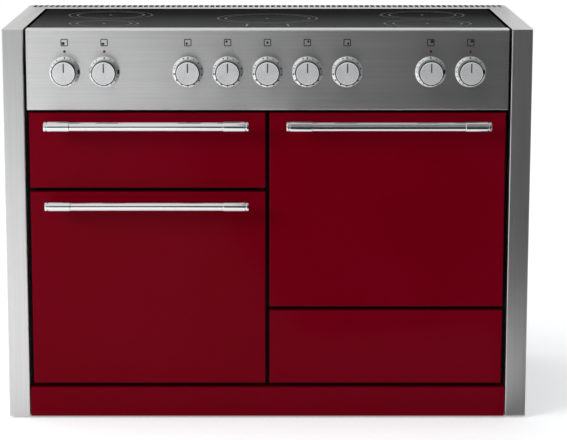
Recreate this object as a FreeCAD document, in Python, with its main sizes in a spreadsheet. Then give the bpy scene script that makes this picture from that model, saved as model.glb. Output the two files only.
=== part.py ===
import FreeCAD, Part

import math
import os
import re

import Sketcher
from FreeCAD import Placement, Rotation, Vector

# A 1200 mm wide free-standing range: induction hob, two ovens, a grill and a storage drawer.
# X is the width, the front faces -Y, Z is up, and the floor is at zero.
# The origin is on the floor, under the middle of the whole outline, handles included.

SIZES = {
    # Outer casing
    "range_width": 1200,
    "carcass_depth": 608,
    "body_lift": 5,
    "body_height": 902.5,
    "side_width": 48,
    "side_rear_gap": 4,
    "steel_sheet": 1.5,
    "side_edge_radius": 2.5,
    "floor_clearance_height": 42,
    "tray_flange": 32,
    "frame_sheet": 2,
    "rear_sheet": 2,
    "cut_overrun": 3,
    # Gaps that show between the front panels
    "centre_gap": 9,
    "door_gap": 9,
    "door_side_gap": 10,
    "fascia_gap": 6.6,
    "fascia_side_gap": 6,
    "plinth_side_gap": 2,
    "plinth_gap": 10,
    "plinth_height": 69,
    # Control fascia
    "fascia_height": 183.9,
    "fascia_top_depth": 36,
    "fascia_outer_radius": 5,
    "fascia_lower_radius": 2,
    "knob_drop": 96.5,
    "knob_pitch": 90,
    "outer_knob_inset": 87,
    "lamp_rise": 46,
    # Knobs, their rings, spindles and switches
    "knob_diameter": 55.6,
    "knob_face_diameter": 51,
    "knob_foot_diameter": 49,
    "knob_face_thickness": 2,
    "knob_face_edge": 0.6,
    "knob_rim_drop": 1.2,
    "knob_rim_edge": 0.8,
    "knob_reach": 34,
    "knob_standoff": 3.3,
    "knob_bore_end": 27,
    "pointer_width": 2.7,
    "pointer_length": 21,
    "pointer_inset": 3,
    "pointer_depth": 1,
    "bezel_diameter": 70,
    "bezel_flat_diameter": 57,
    "bezel_edge": 0.8,
    "bezel_thickness": 2.8,
    "spindle_diameter": 6,
    "spindle_depth": 20,
    "spindle_flat": 1.2,
    "spindle_collar": 6,
    "running_clearance": 0.05,
    "bush_diameter": 10,
    "bush_reach": 3,
    "bush_clearance": 0.1,
    "switch_width": 38,
    "switch_height": 34,
    "switch_depth": 30,
    "lamp_diameter": 6,
    "lamp_flange": 0.8,
    "lamp_dome": 1.2,
    "lamp_depth": 16,
    # Hob
    "hob_side_gap": 7,
    "hob_front": 37.5,
    "hob_rear_gap": 2,
    "glass_thickness": 4,
    "glass_drop": 1.5,
    "glass_corner_radius": 4,
    "soft_clearance": 0.3,
    "seal_thickness": 3,
    "seal_ledge": 10,
    "seal_lip_drop": 0.5,
    "hob_tray_height": 49,
    "hob_tray_side_gap": 6,
    "hob_tray_rear_gap": 5,
    "tray_sheet": 1.5,
    "carrier_sheet": 2,
    "carrier_rise": 30,
    "carrier_gap": 2,
    "large_coil_diameter": 196,
    "small_coil_diameter": 154,
    "centre_coil_diameter": 232,
    "coil_eye_diameter": 46,
    "board_width": 300,
    "board_depth": 200,
    "board_thickness": 1.6,
    "board_rise": 5,
    "board_foot_diameter": 8,
    "board_foot_inset": 12,
    "heatsink_width": 90,
    "heatsink_depth": 150,
    "heatsink_height": 18,
    "heatsink_base": 4,
    "fin_thickness": 3,
    "fin_count": 7,
    # Rear strip and vent
    "vent_depth": 63,
    "vent_height": 40,
    "vent_strip_depth": 38,
    "vent_strip_fold": 12,
    "slot_width": 9.5,
    "slot_length": 53,
    "slot_front": 4.5,
    "slot_pitch": 13.9,
    "slot_count": 85,
    # Doors
    "pan_depth": 18,
    "liner_depth": 18,
    "short_door_height": 173,
    "door_corner_radius": 3,
    "pan_flange": 27,
    "liner_side_inset": 20,
    "liner_inset": 12,
    "liner_corner_radius": 8,
    "gasket_thickness": 3.7,
    "gasket_width": 10,
    "gasket_margin": 6,
    "pivot_depth": 13,
    "pivot_rise": 10,
    "hinge_thickness": 5,
    "hinge_height": 12,
    "hinge_inset": 10.5,
    "hinge_slot_gap": 2,
    "pin_diameter": 6,
    "hinge_foot_height": 34,
    "hinge_foot_width": 12,
    "hinge_foot_thickness": 2.5,
    # Handles
    "handle_reach": 50,
    "handle_drop": 25,
    "handle_inset": 37.75,
    "bar_diameter": 21.8,
    "ferrule_diameter": 24.2,
    "ferrule_length": 50,
    "button_groove": 2,
    "button_groove_depth": 1.6,
    "button_length": 6,
    "post_diameter": 14,
    "post_inset": 27,
    # Ovens and grill
    "muffle_margin": 53.5,
    "muffle_floor_rise": 48,
    "muffle_roof_drop": 43,
    "grill_floor_rise": 33,
    "grill_roof_drop": 33,
    "muffle_sheet": 1.5,
    "muffle_flange": 12,
    "muffle_corner_radius": 14,
    "motor_space": 126.5,
    "grill_rear_space": 150,
    "ledge_width": 8,
    "ledge_height": 3,
    "ledge_rise": 30,
    "fan_cover_size": 250,
    "fan_cover_depth": 40,
    "fan_cover_sheet": 1.5,
    "fan_slot_length": 45,
    "fan_slot_width": 9,
    "fan_slot_start": 18,
    "fan_slot_count": 12,
    "side_slot_length": 150,
    "side_slot_width": 12,
    "fan_diameter": 150,
    "fan_back": 1.5,
    "fan_blade_height": 20,
    "fan_blade_thickness": 1.5,
    "fan_blade_length": 28,
    "fan_blade_count": 10,
    "fan_hub_diameter": 22,
    "fan_wall_gap": 10,
    "fan_shaft_diameter": 8,
    "fan_shaft_grip": 25,
    "shaft_hole_clearance": 3,
    "motor_diameter": 72,
    "motor_length": 52,
    "motor_plate_size": 96,
    "motor_plate_thickness": 3,
    "element_diameter": 7,
    "ring_element_diameter": 190,
    "ring_element_gap": 20,
    "element_tail_spacing": 40,
    "element_tail_reach": 12,
    "grill_element_drop": 20,
    "grill_element_inset": 45,
    "grill_element_bend": 22,
    "lens_diameter": 52,
    "lens_height": 12,
    "lens_inset": 45,
    "wire_diameter": 5,
    "rack_wire_diameter": 4,
    "inner_wire_share": 0.7,
    "ladder_front": 70,
    "ladder_rear_space": 139.5,
    "ladder_foot": 20,
    "ladder_headroom": 120,
    "ladder_levels": 3,
    "shelf_wire_count": 8,
    "shelf_side_gap": 0.5,
    "hexagon_flat_share": 0.866,
    "shelf_rear_space": 104.5,
    "shelf_front": 50,
    "pan_side_gap": 1.5,
    "grill_pan_rear_space": 66,
    "grill_pan_front": 50,
    "grill_pan_height": 26,
    "grill_pan_rim": 15,
    "grill_pan_sheet": 2,
    # Drawer
    "drawer_wall_height": 115,
    "drawer_floor_rise": 16,
    "drawer_side_gap": 32,
    "drawer_rear_space": 128,
    "drawer_sheet": 1.5,
    "rail_height": 6,
    "rail_reach": 6.7,
    "rail_start": 27,
    "rail_rise": 50,
    "guide_sheet": 2,
    "guide_rib": 2,
    "guide_rib_reach": 5,
    "guide_rear_space": 138,
    "frame_window_gap": 5,
    # Feet, rollers and the cable inlet
    "foot_inset": 100,
    "foot_front": 90,
    "foot_diameter": 38,
    "foot_height": 9,
    "foot_stem_diameter": 10,
    "foot_stem_length": 72,
    "foot_nut_size": 19,
    "roller_diameter": 36,
    "roller_width": 22,
    "roller_rear": 70,
    "roller_edge": 3,
    "roller_side_gap": 1,
    "axle_diameter": 8,
    "axle_clearance": 0.1,
    "bracket_sheet": 3,
    "bracket_length": 30,
    "inlet_inset": 160,
    "inlet_rise": 130,
    "inlet_box_width": 120,
    "inlet_box_height": 80,
    "inlet_box_depth": 44,
    "gland_diameter": 28,
    "gland_bore_diameter": 18,
    "gland_bore_depth": 30,
    "gland_clearance": 0.2,
    # Cooling blower
    "blower_rotor_diameter": 60,
    "blower_rotor_length": 200,
    "blower_disc": 3,
    "blower_blade_thickness": 1.5,
    "blower_blade_length": 9,
    "blower_blade_count": 12,
    "blower_gap": 8,
    "blower_end_gap": 6,
    "blower_sheet": 2,
    "blower_drop": 12,
    "blower_motor_diameter": 56,
    "blower_motor_length": 46,
}

# Places that follow from the sizes above
PLACES = {
    "top_level": "body_lift + body_height",
    "front_plane": "(handle_reach + ferrule_diameter / 2 - carcass_depth) / 2",
    "rear_plane": "front_plane + carcass_depth",
    "side_depth": "carcass_depth - side_rear_gap",
    "rail_inner": "range_width / 2 - side_width",
    "frame_half": "range_width / 2 - steel_sheet",
    "door_width": "rail_inner - door_side_gap - centre_gap / 2",
    "door_middle": "(centre_gap + door_width) / 2",
    "fascia_bottom": "top_level - fascia_height",
    "fascia_half": "rail_inner - fascia_side_gap",
    "lower_bottom": "body_lift + plinth_height + plinth_gap",
    "tall_door_height": "fascia_bottom - fascia_gap - lower_bottom - door_gap - short_door_height",
    "grill_bottom": "lower_bottom + tall_door_height + door_gap",
    "upper_bottom": "lower_bottom + short_door_height + door_gap",
    "pan_back": "front_plane + pan_depth",
    "liner_back": "pan_back + liner_depth",
    "frame_front": "liner_back + gasket_thickness + soft_clearance",
    "frame_back": "frame_front + frame_sheet",
    "knob_level": "top_level - knob_drop",
    "lamp_level": "knob_level + lamp_rise",
    "glass_top": "top_level - glass_drop",
    "glass_bottom": "glass_top - glass_thickness",
    "glass_front": "front_plane + hob_front",
    "vent_front": "rear_plane - vent_depth",
    "strip_front": "vent_front - vent_strip_depth",
    "glass_back": "strip_front - hob_rear_gap",
    "glass_half": "rail_inner - hob_side_gap",
    "glass_depth": "glass_back - glass_front",
    "seal_bottom": "glass_bottom - seal_thickness",
    "hob_tray_bottom": "seal_bottom - hob_tray_height",
    "hob_tray_half": "rail_inner - hob_tray_side_gap",
    "hob_tray_back": "glass_back - hob_tray_rear_gap",
    "carrier_top": "hob_tray_bottom + tray_sheet + carrier_rise",
    "muffle_width": "door_width - 2 * muffle_margin",
    "muffle_half": "muffle_width / 2",
    "muffle_back": "rear_plane - motor_space",
    "grill_back": "rear_plane - grill_rear_space",
    "muffle_depth": "muffle_back - frame_back",
    "cavity_height": "tall_door_height - muffle_floor_rise - muffle_roof_drop",
    "ladder_length": "muffle_depth - ladder_rear_space",
    "ladder_pitch": "(cavity_height - ladder_headroom) / ladder_levels",
    "shelf_depth": "muffle_depth - shelf_rear_space",
    "shelf_seat": "wire_diameter * hexagon_flat_share + soft_clearance",
    "grill_pan_depth": "grill_back - frame_back - grill_pan_rear_space",
    "grill_height": "short_door_height - grill_floor_rise - grill_roof_drop",
    "tray_floor": "floor_clearance_height + steel_sheet",
    "guide_inner": "door_width / 2 - drawer_side_gap + rail_reach + soft_clearance",
    "drawer_half": "door_width / 2 - drawer_side_gap",
    "drawer_depth": "carcass_depth - drawer_rear_space",
    "guide_length": "carcass_depth - guide_rear_space",
    "drawer_bottom": "lower_bottom + drawer_floor_rise",
    "rail_bottom": "drawer_bottom + rail_rise",
}

SIZE_WORD = re.compile(r"[a-z_]+")

doc = FreeCAD.newDocument("InductionRange")
sheet = doc.addObject("Spreadsheet::Sheet", "Sizes")
for row, (size_name, size_value) in enumerate(SIZES.items(), start=1):
    sheet.set(f"A{row}", size_name)
    sheet.set(f"B{row}", str(size_value))
    sheet.setAlias(f"B{row}", size_name)
sheet.recompute()

nodes = []


def sized(text):
    """Spell a sum of named sizes and places out as references to the sheet."""

    def spell(word):
        name = word[0]
        if name in PLACES:
            return f"({sized(PLACES[name])})"
        return f"Sizes.{name}" if name in SIZES else name

    return SIZE_WORD.sub(spell, text)


def value(text):
    """The number that a sum of named sizes comes to."""
    return float(sheet.evalExpression(sized(text)))


def bind(thing, prop, text):
    """Tie a property to a sum of named sizes."""
    thing.setExpression(prop, sized(text))


def place(thing, x="0", y="0", z="0", turn=None):
    """Set where a piece stands, tied to the sizes, and how it is turned."""
    if turn:
        thing.Placement = Placement(Vector(), turn)
    for axis, text in zip("xyz", (x, y, z)):
        bind(thing, f"Placement.Base.{axis}", text)
    return thing


def block(name, x_limits, y_limits, z_limits):
    """A plain box between two limits on each axis."""
    box = doc.addObject("Part::Box", name)
    limits = (x_limits, y_limits, z_limits)
    for prop, (low, high) in zip(("Length", "Width", "Height"), limits):
        bind(box, prop, f"({high}) - ({low})")
    return place(box, x_limits[0], y_limits[0], z_limits[0])


TURNS = {
    "x": Rotation(Vector(0, 1, 0), 90),
    "y": Rotation(Vector(1, 0, 0), -90),
    "z": Rotation(),
}
OUTWARD = Rotation(Vector(1, 0, 0), 90)


def rod(name, axis, radius, length, at):
    """A round bar that starts at a point and runs along an axis."""
    bar = doc.addObject("Part::Cylinder", name)
    bind(bar, "Radius", radius)
    bind(bar, "Height", length)
    return place(bar, *at, turn=TURNS[axis])


def wire(name, axis, radius, length, at, sides=6):
    """A rod with flat sides, for racks, ladders and hidden windings."""
    bar = doc.addObject("Part::Prism", name)
    bar.Polygon = sides
    bind(bar, "Circumradius", radius)
    bind(bar, "Height", length)
    return place(bar, *at, turn=TURNS[axis])


def fuse(name, pieces):
    joined = doc.addObject("Part::MultiFuse", name)
    joined.Shapes = pieces
    return joined


def cut(name, base, tools):
    left = doc.addObject("Part::Cut", name)
    left.Base = base
    left.Tool = tools[0] if len(tools) == 1 else fuse(f"{name}_cutters", tools)
    return left


def group(name, pieces):
    """Separate solids that share one node."""
    together = doc.addObject("Part::Compound", name)
    together.Links = pieces
    return together


def publish(piece, node):
    piece.Label = node
    nodes.append(piece)
    return piece


def new_body(name, x="0", y="0", z="0", turn=None):
    return place(doc.addObject("PartDesign::Body", name), x, y, z, turn)


def new_sketch(body, role, offset=None):
    """A sketch on one of the body's own origin planes, or a stated way off it."""
    sketch = body.newObject("Sketcher::SketchObject", f"{body.Name}_sketch")
    plane = next(item for item in body.Origin.OriginFeatures if item.Role == role)
    sketch.AttachmentSupport = [(plane, "")]
    sketch.MapMode = "FlatFace"
    if offset:
        bind(sketch, "AttachmentOffset.Base.z", offset)
    return sketch


def pin_point(sketch, line, end, point):
    """Tie one end of a line to a pair of sums of named sizes."""
    for kind, text in zip(("DistanceX", "DistanceY"), point):
        index = sketch.addConstraint(Sketcher.Constraint(kind, -1, 1, line, end, value(text)))
        bind(sketch, f"Constraints[{index}]", text)


def outline(sketch, points):
    """A closed run of straight lines through the points."""
    spots = [Vector(value(u), value(v), 0) for u, v in points]
    first = sketch.GeometryCount
    for spot, following in zip(spots, spots[1:] + spots[:1]):
        sketch.addGeometry(Part.LineSegment(spot, following))
    for index, point in enumerate(points):
        before = first + (index - 1) % len(points)
        sketch.addConstraint(Sketcher.Constraint("Coincident", before, 2, first + index, 1))
        pin_point(sketch, first + index, 1, point)
    return sketch


def rectangle(sketch, u_limits, v_limits):
    u_low, u_high = u_limits
    v_low, v_high = v_limits
    return outline(sketch, [(u_low, v_low), (u_high, v_low), (u_high, v_high), (u_low, v_high)])


def circle(sketch, u, v, radius):
    centre = Vector(value(u), value(v), 0)
    index = sketch.addGeometry(Part.Circle(centre, Vector(0, 0, 1), value(radius)))
    pin_point(sketch, index, 3, (u, v))
    size = sketch.addConstraint(Sketcher.Constraint("Radius", index, value(radius)))
    bind(sketch, f"Constraints[{size}]", radius)
    return sketch


def pad(body, sketch, length, middle=False):
    """Add material along the sketch's normal, or evenly on both sides of it."""
    feature = body.newObject("PartDesign::Pad", f"{body.Name}_pad")
    feature.Profile = sketch
    feature.Midplane = middle
    bind(feature, "Length", length)
    return feature


def pocket(body, sketch, length, ahead=False, middle=False):
    """Take material away behind the sketch, or ahead of it along its normal."""
    feature = body.newObject("PartDesign::Pocket", f"{body.Name}_pocket")
    feature.Profile = sketch
    feature.Reversed = ahead
    feature.Midplane = middle
    bind(feature, "Length", length)
    return feature


def revolve(body, sketch, axis="V_Axis"):
    feature = body.newObject("PartDesign::Revolution", f"{body.Name}_turned")
    feature.Profile = sketch
    feature.ReferenceAxis = (sketch, [axis])
    feature.Angle = 360
    return feature


def repeat_around(body, feature, sketch, count):
    pattern = body.newObject("PartDesign::PolarPattern", f"{body.Name}_ring")
    pattern.Originals = [feature]
    pattern.Axis = (sketch, ["N_Axis"])
    bind(pattern, "Occurrences", count)
    body.Tip = pattern
    return pattern


def repeat_along(body, feature, sketch, length, count):
    pattern = body.newObject("PartDesign::LinearPattern", f"{body.Name}_row")
    pattern.Originals = [feature]
    pattern.Direction = (sketch, ["H_Axis"])
    bind(pattern, "Length", length)
    bind(pattern, "Occurrences", count)
    body.Tip = pattern
    return pattern


def runs(edge, axis):
    """Whether a straight edge runs along an axis of the body."""
    if edge.Curve.TypeId != "Part::GeomLine":
        return False
    return abs(abs(edge.Curve.Direction.dot(axis)) - 1) < 1e-6


def near(one, other):
    return abs(one - other) < 1e-4


def soften(body, feature, wanted, radius):
    """Round the edges of the latest feature that the test picks."""
    doc.recompute()
    edges = feature.Shape.Edges
    names = [f"Edge{index}" for index, edge in enumerate(edges, start=1) if wanted(edge)]
    fillet = body.newObject("PartDesign::Fillet", f"{body.Name}_round")
    fillet.Base = (feature, names)
    bind(fillet, "Radius", radius)
    return fillet


X_WAY = Vector(1, 0, 0)
Y_WAY = Vector(0, 1, 0)
Z_WAY = Vector(0, 0, 1)


# Casing

def side_panel(node, x_start, wall_start, return_start):
    """A folded steel side with a wide face to the front and on top, open towards the middle."""
    body = new_body(node, x=x_start, y="front_plane")
    notch_top = "top_level - vent_height"
    profile = [
        ("0", "body_lift"),
        ("side_depth", "body_lift"),
        ("side_depth", notch_top),
        ("carcass_depth - vent_depth", notch_top),
        ("carcass_depth - vent_depth", "top_level"),
        ("0", "top_level"),
    ]
    slab = pad(body, outline(new_sketch(body, "YZ_Plane"), profile), "side_width")
    x_outer = 0 if wall_start != "0" else value("side_width")

    def front_edges(edge):
        box = edge.BoundBox
        upright = runs(edge, Z_WAY) and near(box.XMin, x_outer) and near(box.YMin, 0)
        across = runs(edge, X_WAY) and near(box.YMin, 0) and near(box.ZMin, value("top_level"))
        return upright or across

    soften(body, slab, front_edges, "side_edge_radius")
    inside = [
        ("steel_sheet", "body_lift + steel_sheet"),
        ("side_depth - steel_sheet", "body_lift + steel_sheet"),
        ("side_depth - steel_sheet", f"{notch_top} - steel_sheet"),
        ("carcass_depth - vent_depth - steel_sheet", f"{notch_top} - steel_sheet"),
        ("carcass_depth - vent_depth - steel_sheet", "top_level - steel_sheet"),
        ("steel_sheet", "top_level - steel_sheet"),
    ]
    hollow = outline(new_sketch(body, "YZ_Plane", wall_start), inside)
    pocket(body, hollow, "side_width - steel_sheet", ahead=True)
    depth_limits = ("steel_sheet", "frame_front - front_plane")
    height_limits = ("body_lift + steel_sheet", "top_level - steel_sheet")
    fold = rectangle(new_sketch(body, "YZ_Plane", return_start), depth_limits, height_limits)
    pad(body, fold, "steel_sheet")
    return publish(body, node)


def base_tray():
    """The folded floor of the range, with bosses for the feet and cheeks and axles for the rollers."""
    x_limits = ("-frame_half", "frame_half")
    y_limits = ("frame_back", "front_plane + side_depth - steel_sheet")
    body = new_body("tray_sheet_metal", z="floor_clearance_height")
    plate = rectangle(new_sketch(body, "XY_Plane"), x_limits, y_limits)
    pad(body, plate, "tray_flange")
    hollow = new_sketch(body, "XY_Plane", "steel_sheet")
    rectangle(
        hollow,
        ("-frame_half + steel_sheet", "frame_half - steel_sheet"),
        ("frame_back + steel_sheet", "front_plane + side_depth - 2 * steel_sheet"),
    )
    pocket(body, hollow, "tray_flange", ahead=True)
    pieces = [body]
    for side in ("-", ""):
        x_middle = f"{side}(range_width / 2 - foot_inset)"
        boss = rod(
            "foot_boss", "z", "foot_stem_diameter", "tray_flange / 2",
            (x_middle, "front_plane + foot_front", "tray_floor"),
        )
        pieces.append(boss)
        pieces += roller_cheeks(x_middle)
    whole = fuse("base_tray_whole", pieces)
    bores = [
        rod(
            "foot_hole", "z", "foot_stem_diameter / 2 + axle_clearance",
            "tray_flange + 2 * cut_overrun",
            (f"{side}(range_width / 2 - foot_inset)", "front_plane + foot_front",
             "floor_clearance_height - cut_overrun"),
        )
        for side in ("-", "")
    ]
    return publish(cut("base_tray", whole, bores), "base_tray")


def roller_cheeks(x_middle):
    """Two cheeks and the axle between them, hung under the base for one roller."""
    y_axle = "rear_plane - roller_rear"
    half_gap = "(roller_width / 2 + roller_side_gap)"
    y_limits = (f"{y_axle} - bracket_length / 2", f"{y_axle} + bracket_length / 2")
    z_limits = ("roller_diameter / 2 - axle_diameter", "floor_clearance_height")
    near_cheek = (f"{x_middle} - {half_gap} - bracket_sheet", f"{x_middle} - {half_gap}")
    far_cheek = (f"{x_middle} + {half_gap}", f"{x_middle} + {half_gap} + bracket_sheet")
    axle = rod(
        "roller_axle", "x", "axle_diameter / 2", f"2 * ({half_gap} + bracket_sheet)",
        (near_cheek[0], y_axle, "roller_diameter / 2"),
    )
    return [
        block("roller_cheek", near_cheek, y_limits, z_limits),
        block("roller_cheek", far_cheek, y_limits, z_limits),
        axle,
    ]


def rear_panel():
    """The flat back, with a hole for the cable gland."""
    plate = block(
        "rear_plate",
        ("-frame_half", "frame_half"),
        ("front_plane + side_depth", "front_plane + side_depth + rear_sheet"),
        ("body_lift + steel_sheet", "top_level - vent_height - steel_sheet"),
    )
    hole = rod(
        "gland_hole", "y", "gland_diameter / 2 + gland_clearance", "rear_sheet + 2 * cut_overrun",
        ("range_width / 2 - inlet_inset", "front_plane + side_depth - cut_overrun", "inlet_rise"),
    )
    return publish(cut("rear_panel", plate, [hole]), "rear_panel")


def front_frame():
    """The pressed front of the carcass, with a window for each cavity, the drawer and the switches."""
    body = new_body("front_frame", y="frame_back")
    z_limits = ("floor_clearance_height", "seal_bottom")
    plate = rectangle(new_sketch(body, "XZ_Plane"), ("-frame_half", "frame_half"), z_limits)
    pad(body, plate, "frame_sheet")
    windows = new_sketch(body, "XZ_Plane")
    muffle_x = ("door_middle - muffle_half", "door_middle + muffle_half")
    left_x = ("-door_middle - muffle_half", "-door_middle + muffle_half")
    for x_limits, bottom in ((left_x, "lower_bottom"), (muffle_x, "upper_bottom")):
        floor = f"{bottom} + muffle_floor_rise"
        rectangle(windows, x_limits, (floor, f"{floor} + cavity_height"))
    grill_floor = "grill_bottom + grill_floor_rise"
    rectangle(windows, left_x, (grill_floor, f"{grill_floor} + grill_height"))
    rectangle(
        windows,
        ("door_middle - guide_inner", "door_middle + guide_inner"),
        ("drawer_bottom - frame_window_gap", "drawer_bottom + drawer_wall_height + frame_window_gap"),
    )
    switch_top = "knob_level + switch_height / 2 + frame_window_gap"
    switch_low = "knob_level - switch_height / 2 - frame_window_gap"
    switch_half = "fascia_half - outer_knob_inset + switch_width"
    rectangle(windows, (f"-({switch_half})", switch_half), (switch_low, switch_top))
    pocket(body, windows, "frame_sheet + cut_overrun", ahead=True)
    return publish(body, "front_frame")


def plinth_panel():
    """The kick panel under the doors, a shallow pan that opens to the rear."""
    body = new_body("plinth_panel", y="frame_front")
    half = "rail_inner - plinth_side_gap"
    z_limits = ("body_lift", "body_lift + plinth_height")
    slab = pad(
        body, rectangle(new_sketch(body, "XZ_Plane"), (f"-({half})", half), z_limits),
        "frame_front - front_plane",
    )
    front = -value("frame_front - front_plane")
    soften(
        body, slab,
        lambda edge: runs(edge, X_WAY) and near(edge.BoundBox.YMin, front),
        "fascia_lower_radius",
    )
    hollow = new_sketch(body, "XZ_Plane")
    rectangle(
        hollow,
        (f"-({half}) + steel_sheet", f"{half} - steel_sheet"),
        ("body_lift + steel_sheet", "body_lift + plinth_height - steel_sheet"),
    )
    pocket(body, hollow, "frame_front - front_plane - steel_sheet", ahead=True)
    return publish(body, "plinth_panel")


# Control fascia and what is fixed to it

def knob_places():
    """The middle of each knob across the width, from left to right."""
    outer = "(fascia_half - outer_knob_inset)"
    return [
        ("left_outer", f"-{outer}"),
        ("left_inner", f"-{outer} + knob_pitch"),
        ("zone_one", "-2 * knob_pitch"),
        ("zone_two", "-knob_pitch"),
        ("zone_three", "0 * knob_pitch"),
        ("zone_four", "knob_pitch"),
        ("zone_five", "2 * knob_pitch"),
        ("right_inner", f"{outer} - knob_pitch"),
        ("right_outer", outer),
    ]


def lamp_places():
    return [x for name, x in knob_places() if name.endswith(("outer", "inner"))]


def control_fascia():
    """A brushed steel sheet folded back over the top edge, with holes for bushes and lamps."""
    body = new_body("control_fascia", y="front_plane")
    profile = [
        ("0", "fascia_bottom"),
        ("frame_front - front_plane", "fascia_bottom"),
        ("frame_front - front_plane", "fascia_bottom + steel_sheet"),
        ("steel_sheet", "fascia_bottom + steel_sheet"),
        ("steel_sheet", "top_level - steel_sheet"),
        ("fascia_top_depth", "top_level - steel_sheet"),
        ("fascia_top_depth", "top_level"),
        ("0", "top_level"),
    ]
    fold = pad(body, outline(new_sketch(body, "YZ_Plane"), profile), "2 * fascia_half", middle=True)

    def edge_at(depth, level):
        return lambda edge: (
            runs(edge, X_WAY)
            and near(edge.BoundBox.YMin, value(depth))
            and near(edge.BoundBox.ZMin, value(level))
        )

    outer = soften(body, fold, edge_at("0", "top_level"), "fascia_outer_radius")
    inner = soften(
        body, outer, edge_at("steel_sheet", "top_level - steel_sheet"),
        "fascia_outer_radius - steel_sheet",
    )
    soften(body, inner, edge_at("0", "fascia_bottom"), "fascia_lower_radius")
    holes = new_sketch(body, "XZ_Plane")
    for _, x in knob_places():
        circle(holes, x, "knob_level", "bush_diameter / 2 + bush_clearance")
    for x in lamp_places():
        circle(holes, x, "lamp_level", "lamp_diameter / 2 + bush_clearance")
    pocket(body, holes, "steel_sheet + cut_overrun")
    return publish(body, "control_fascia")


def knob_bezels():
    """The coned ring behind each knob, clamped to the fascia by the switch bush."""
    rings = []
    eye = "bush_diameter / 2 + bush_clearance"
    profile = [
        (eye, "0"),
        ("bezel_diameter / 2", "0"),
        ("bezel_diameter / 2", "bezel_edge"),
        ("bezel_flat_diameter / 2", "bezel_thickness"),
        (eye, "bezel_thickness"),
    ]
    for name, x in knob_places():
        body = new_body(f"bezel_{name}", x=x, y="front_plane", z="knob_level", turn=OUTWARD)
        revolve(body, outline(new_sketch(body, "XZ_Plane"), profile))
        rings.append(body)
    return publish(group("knob_bezels", rings), "knob_bezels")


def switch_blocks():
    """A rotary switch behind each knob, whose bush comes through the fascia."""
    switches = []
    for _, x in knob_places():
        case = block(
            "switch_case",
            (f"{x} - switch_width / 2", f"{x} + switch_width / 2"),
            ("front_plane + steel_sheet", "front_plane + steel_sheet + switch_depth"),
            ("knob_level - switch_height / 2", "knob_level + switch_height / 2"),
        )
        bush = rod(
            "switch_bush", "y", "bush_diameter / 2", "bush_reach + steel_sheet",
            (x, "front_plane - bush_reach", "knob_level"),
        )
        bore = rod(
            "switch_bore", "y", "spindle_diameter / 2 + running_clearance",
            "bush_reach + spindle_depth + cut_overrun",
            (x, "front_plane - bush_reach - cut_overrun", "knob_level"),
        )
        switches.append(cut("switch", fuse("switch_body", [case, bush]), [bore]))
    return publish(group("switch_blocks", switches), "switch_blocks")


def indicator_lamps():
    """A small domed lens above each oven and grill knob."""
    lamps = []
    for x in lamp_places():
        body = new_body("lamp", x=x, y="front_plane", z="lamp_level", turn=OUTWARD)
        profile = [
            ("0", "-lamp_depth"),
            ("lamp_diameter / 2", "-lamp_depth"),
            ("lamp_diameter / 2", "0"),
            ("lamp_diameter / 2 - lamp_flange", "lamp_flange + lamp_dome"),
            ("0", "lamp_flange + lamp_dome"),
        ]
        revolve(body, outline(new_sketch(body, "XZ_Plane"), profile))
        lamps.append(body)
    return publish(group("indicator_lamps", lamps), "indicator_lamps")


def knob(name, x):
    """A black body that tapers to its foot, a steel face let into it, and the spindle that it grips."""
    at = {"x": x, "y": "front_plane", "z": "knob_level", "turn": OUTWARD}
    body = new_body(f"grip_{name}", **at)
    outer = "knob_diameter / 2"
    face = "knob_face_diameter / 2"
    bore = "spindle_diameter / 2 + running_clearance"
    rim = "knob_reach - knob_rim_drop"
    seat = "knob_reach - knob_face_thickness"
    profile = [
        (bore, "knob_standoff"),
        ("knob_foot_diameter / 2", "knob_standoff"),
        (outer, f"{rim} - knob_rim_edge"),
        (f"{outer} - knob_rim_edge", rim),
        (face, rim),
        (face, seat),
        ("0", seat),
        ("0", "knob_bore_end"),
        (bore, "knob_bore_end"),
    ]
    revolve(body, outline(new_sketch(body, "XZ_Plane"), profile))
    disc = new_body(f"face_{name}", **at)
    disc_profile = [
        ("0", seat),
        (face, seat),
        (face, "knob_reach - knob_face_edge"),
        (f"{face} - knob_face_edge", "knob_reach"),
        ("0", "knob_reach"),
    ]
    revolve(disc, outline(new_sketch(disc, "XZ_Plane"), disc_profile))
    groove = new_sketch(disc, "XY_Plane", "knob_reach")
    top = f"{face} - pointer_inset"
    rectangle(groove, ("-pointer_width / 2", "pointer_width / 2"), (f"{top} - pointer_length", top))
    pocket(disc, groove, "pointer_depth")
    spindle = rod(
        "spindle", "y", "spindle_diameter / 2", "knob_bore_end + spindle_depth",
        (x, "front_plane - knob_bore_end", "knob_level"),
    )
    flat = block(
        "spindle_flat",
        (f"{x} - spindle_diameter", f"{x} + spindle_diameter"),
        ("front_plane - knob_bore_end - cut_overrun", "front_plane - knob_standoff - spindle_collar"),
        ("knob_level + spindle_diameter / 2 - spindle_flat", "knob_level + spindle_diameter"),
    )
    shaft = cut("flatted_spindle", spindle, [flat])
    return publish(group(f"knob_{name}", [body, disc, shaft]), f"knob_{name}")


# Hob

def hob_glass():
    body = new_body("hob_glass", z="glass_bottom")
    sheet_outline = new_sketch(body, "XY_Plane")
    rectangle(sheet_outline, ("-glass_half", "glass_half"), ("glass_front", "glass_back"))
    slab = pad(body, sheet_outline, "glass_thickness")
    soften(body, slab, lambda edge: runs(edge, Z_WAY), "glass_corner_radius")
    return publish(body, "hob_glass")


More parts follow.
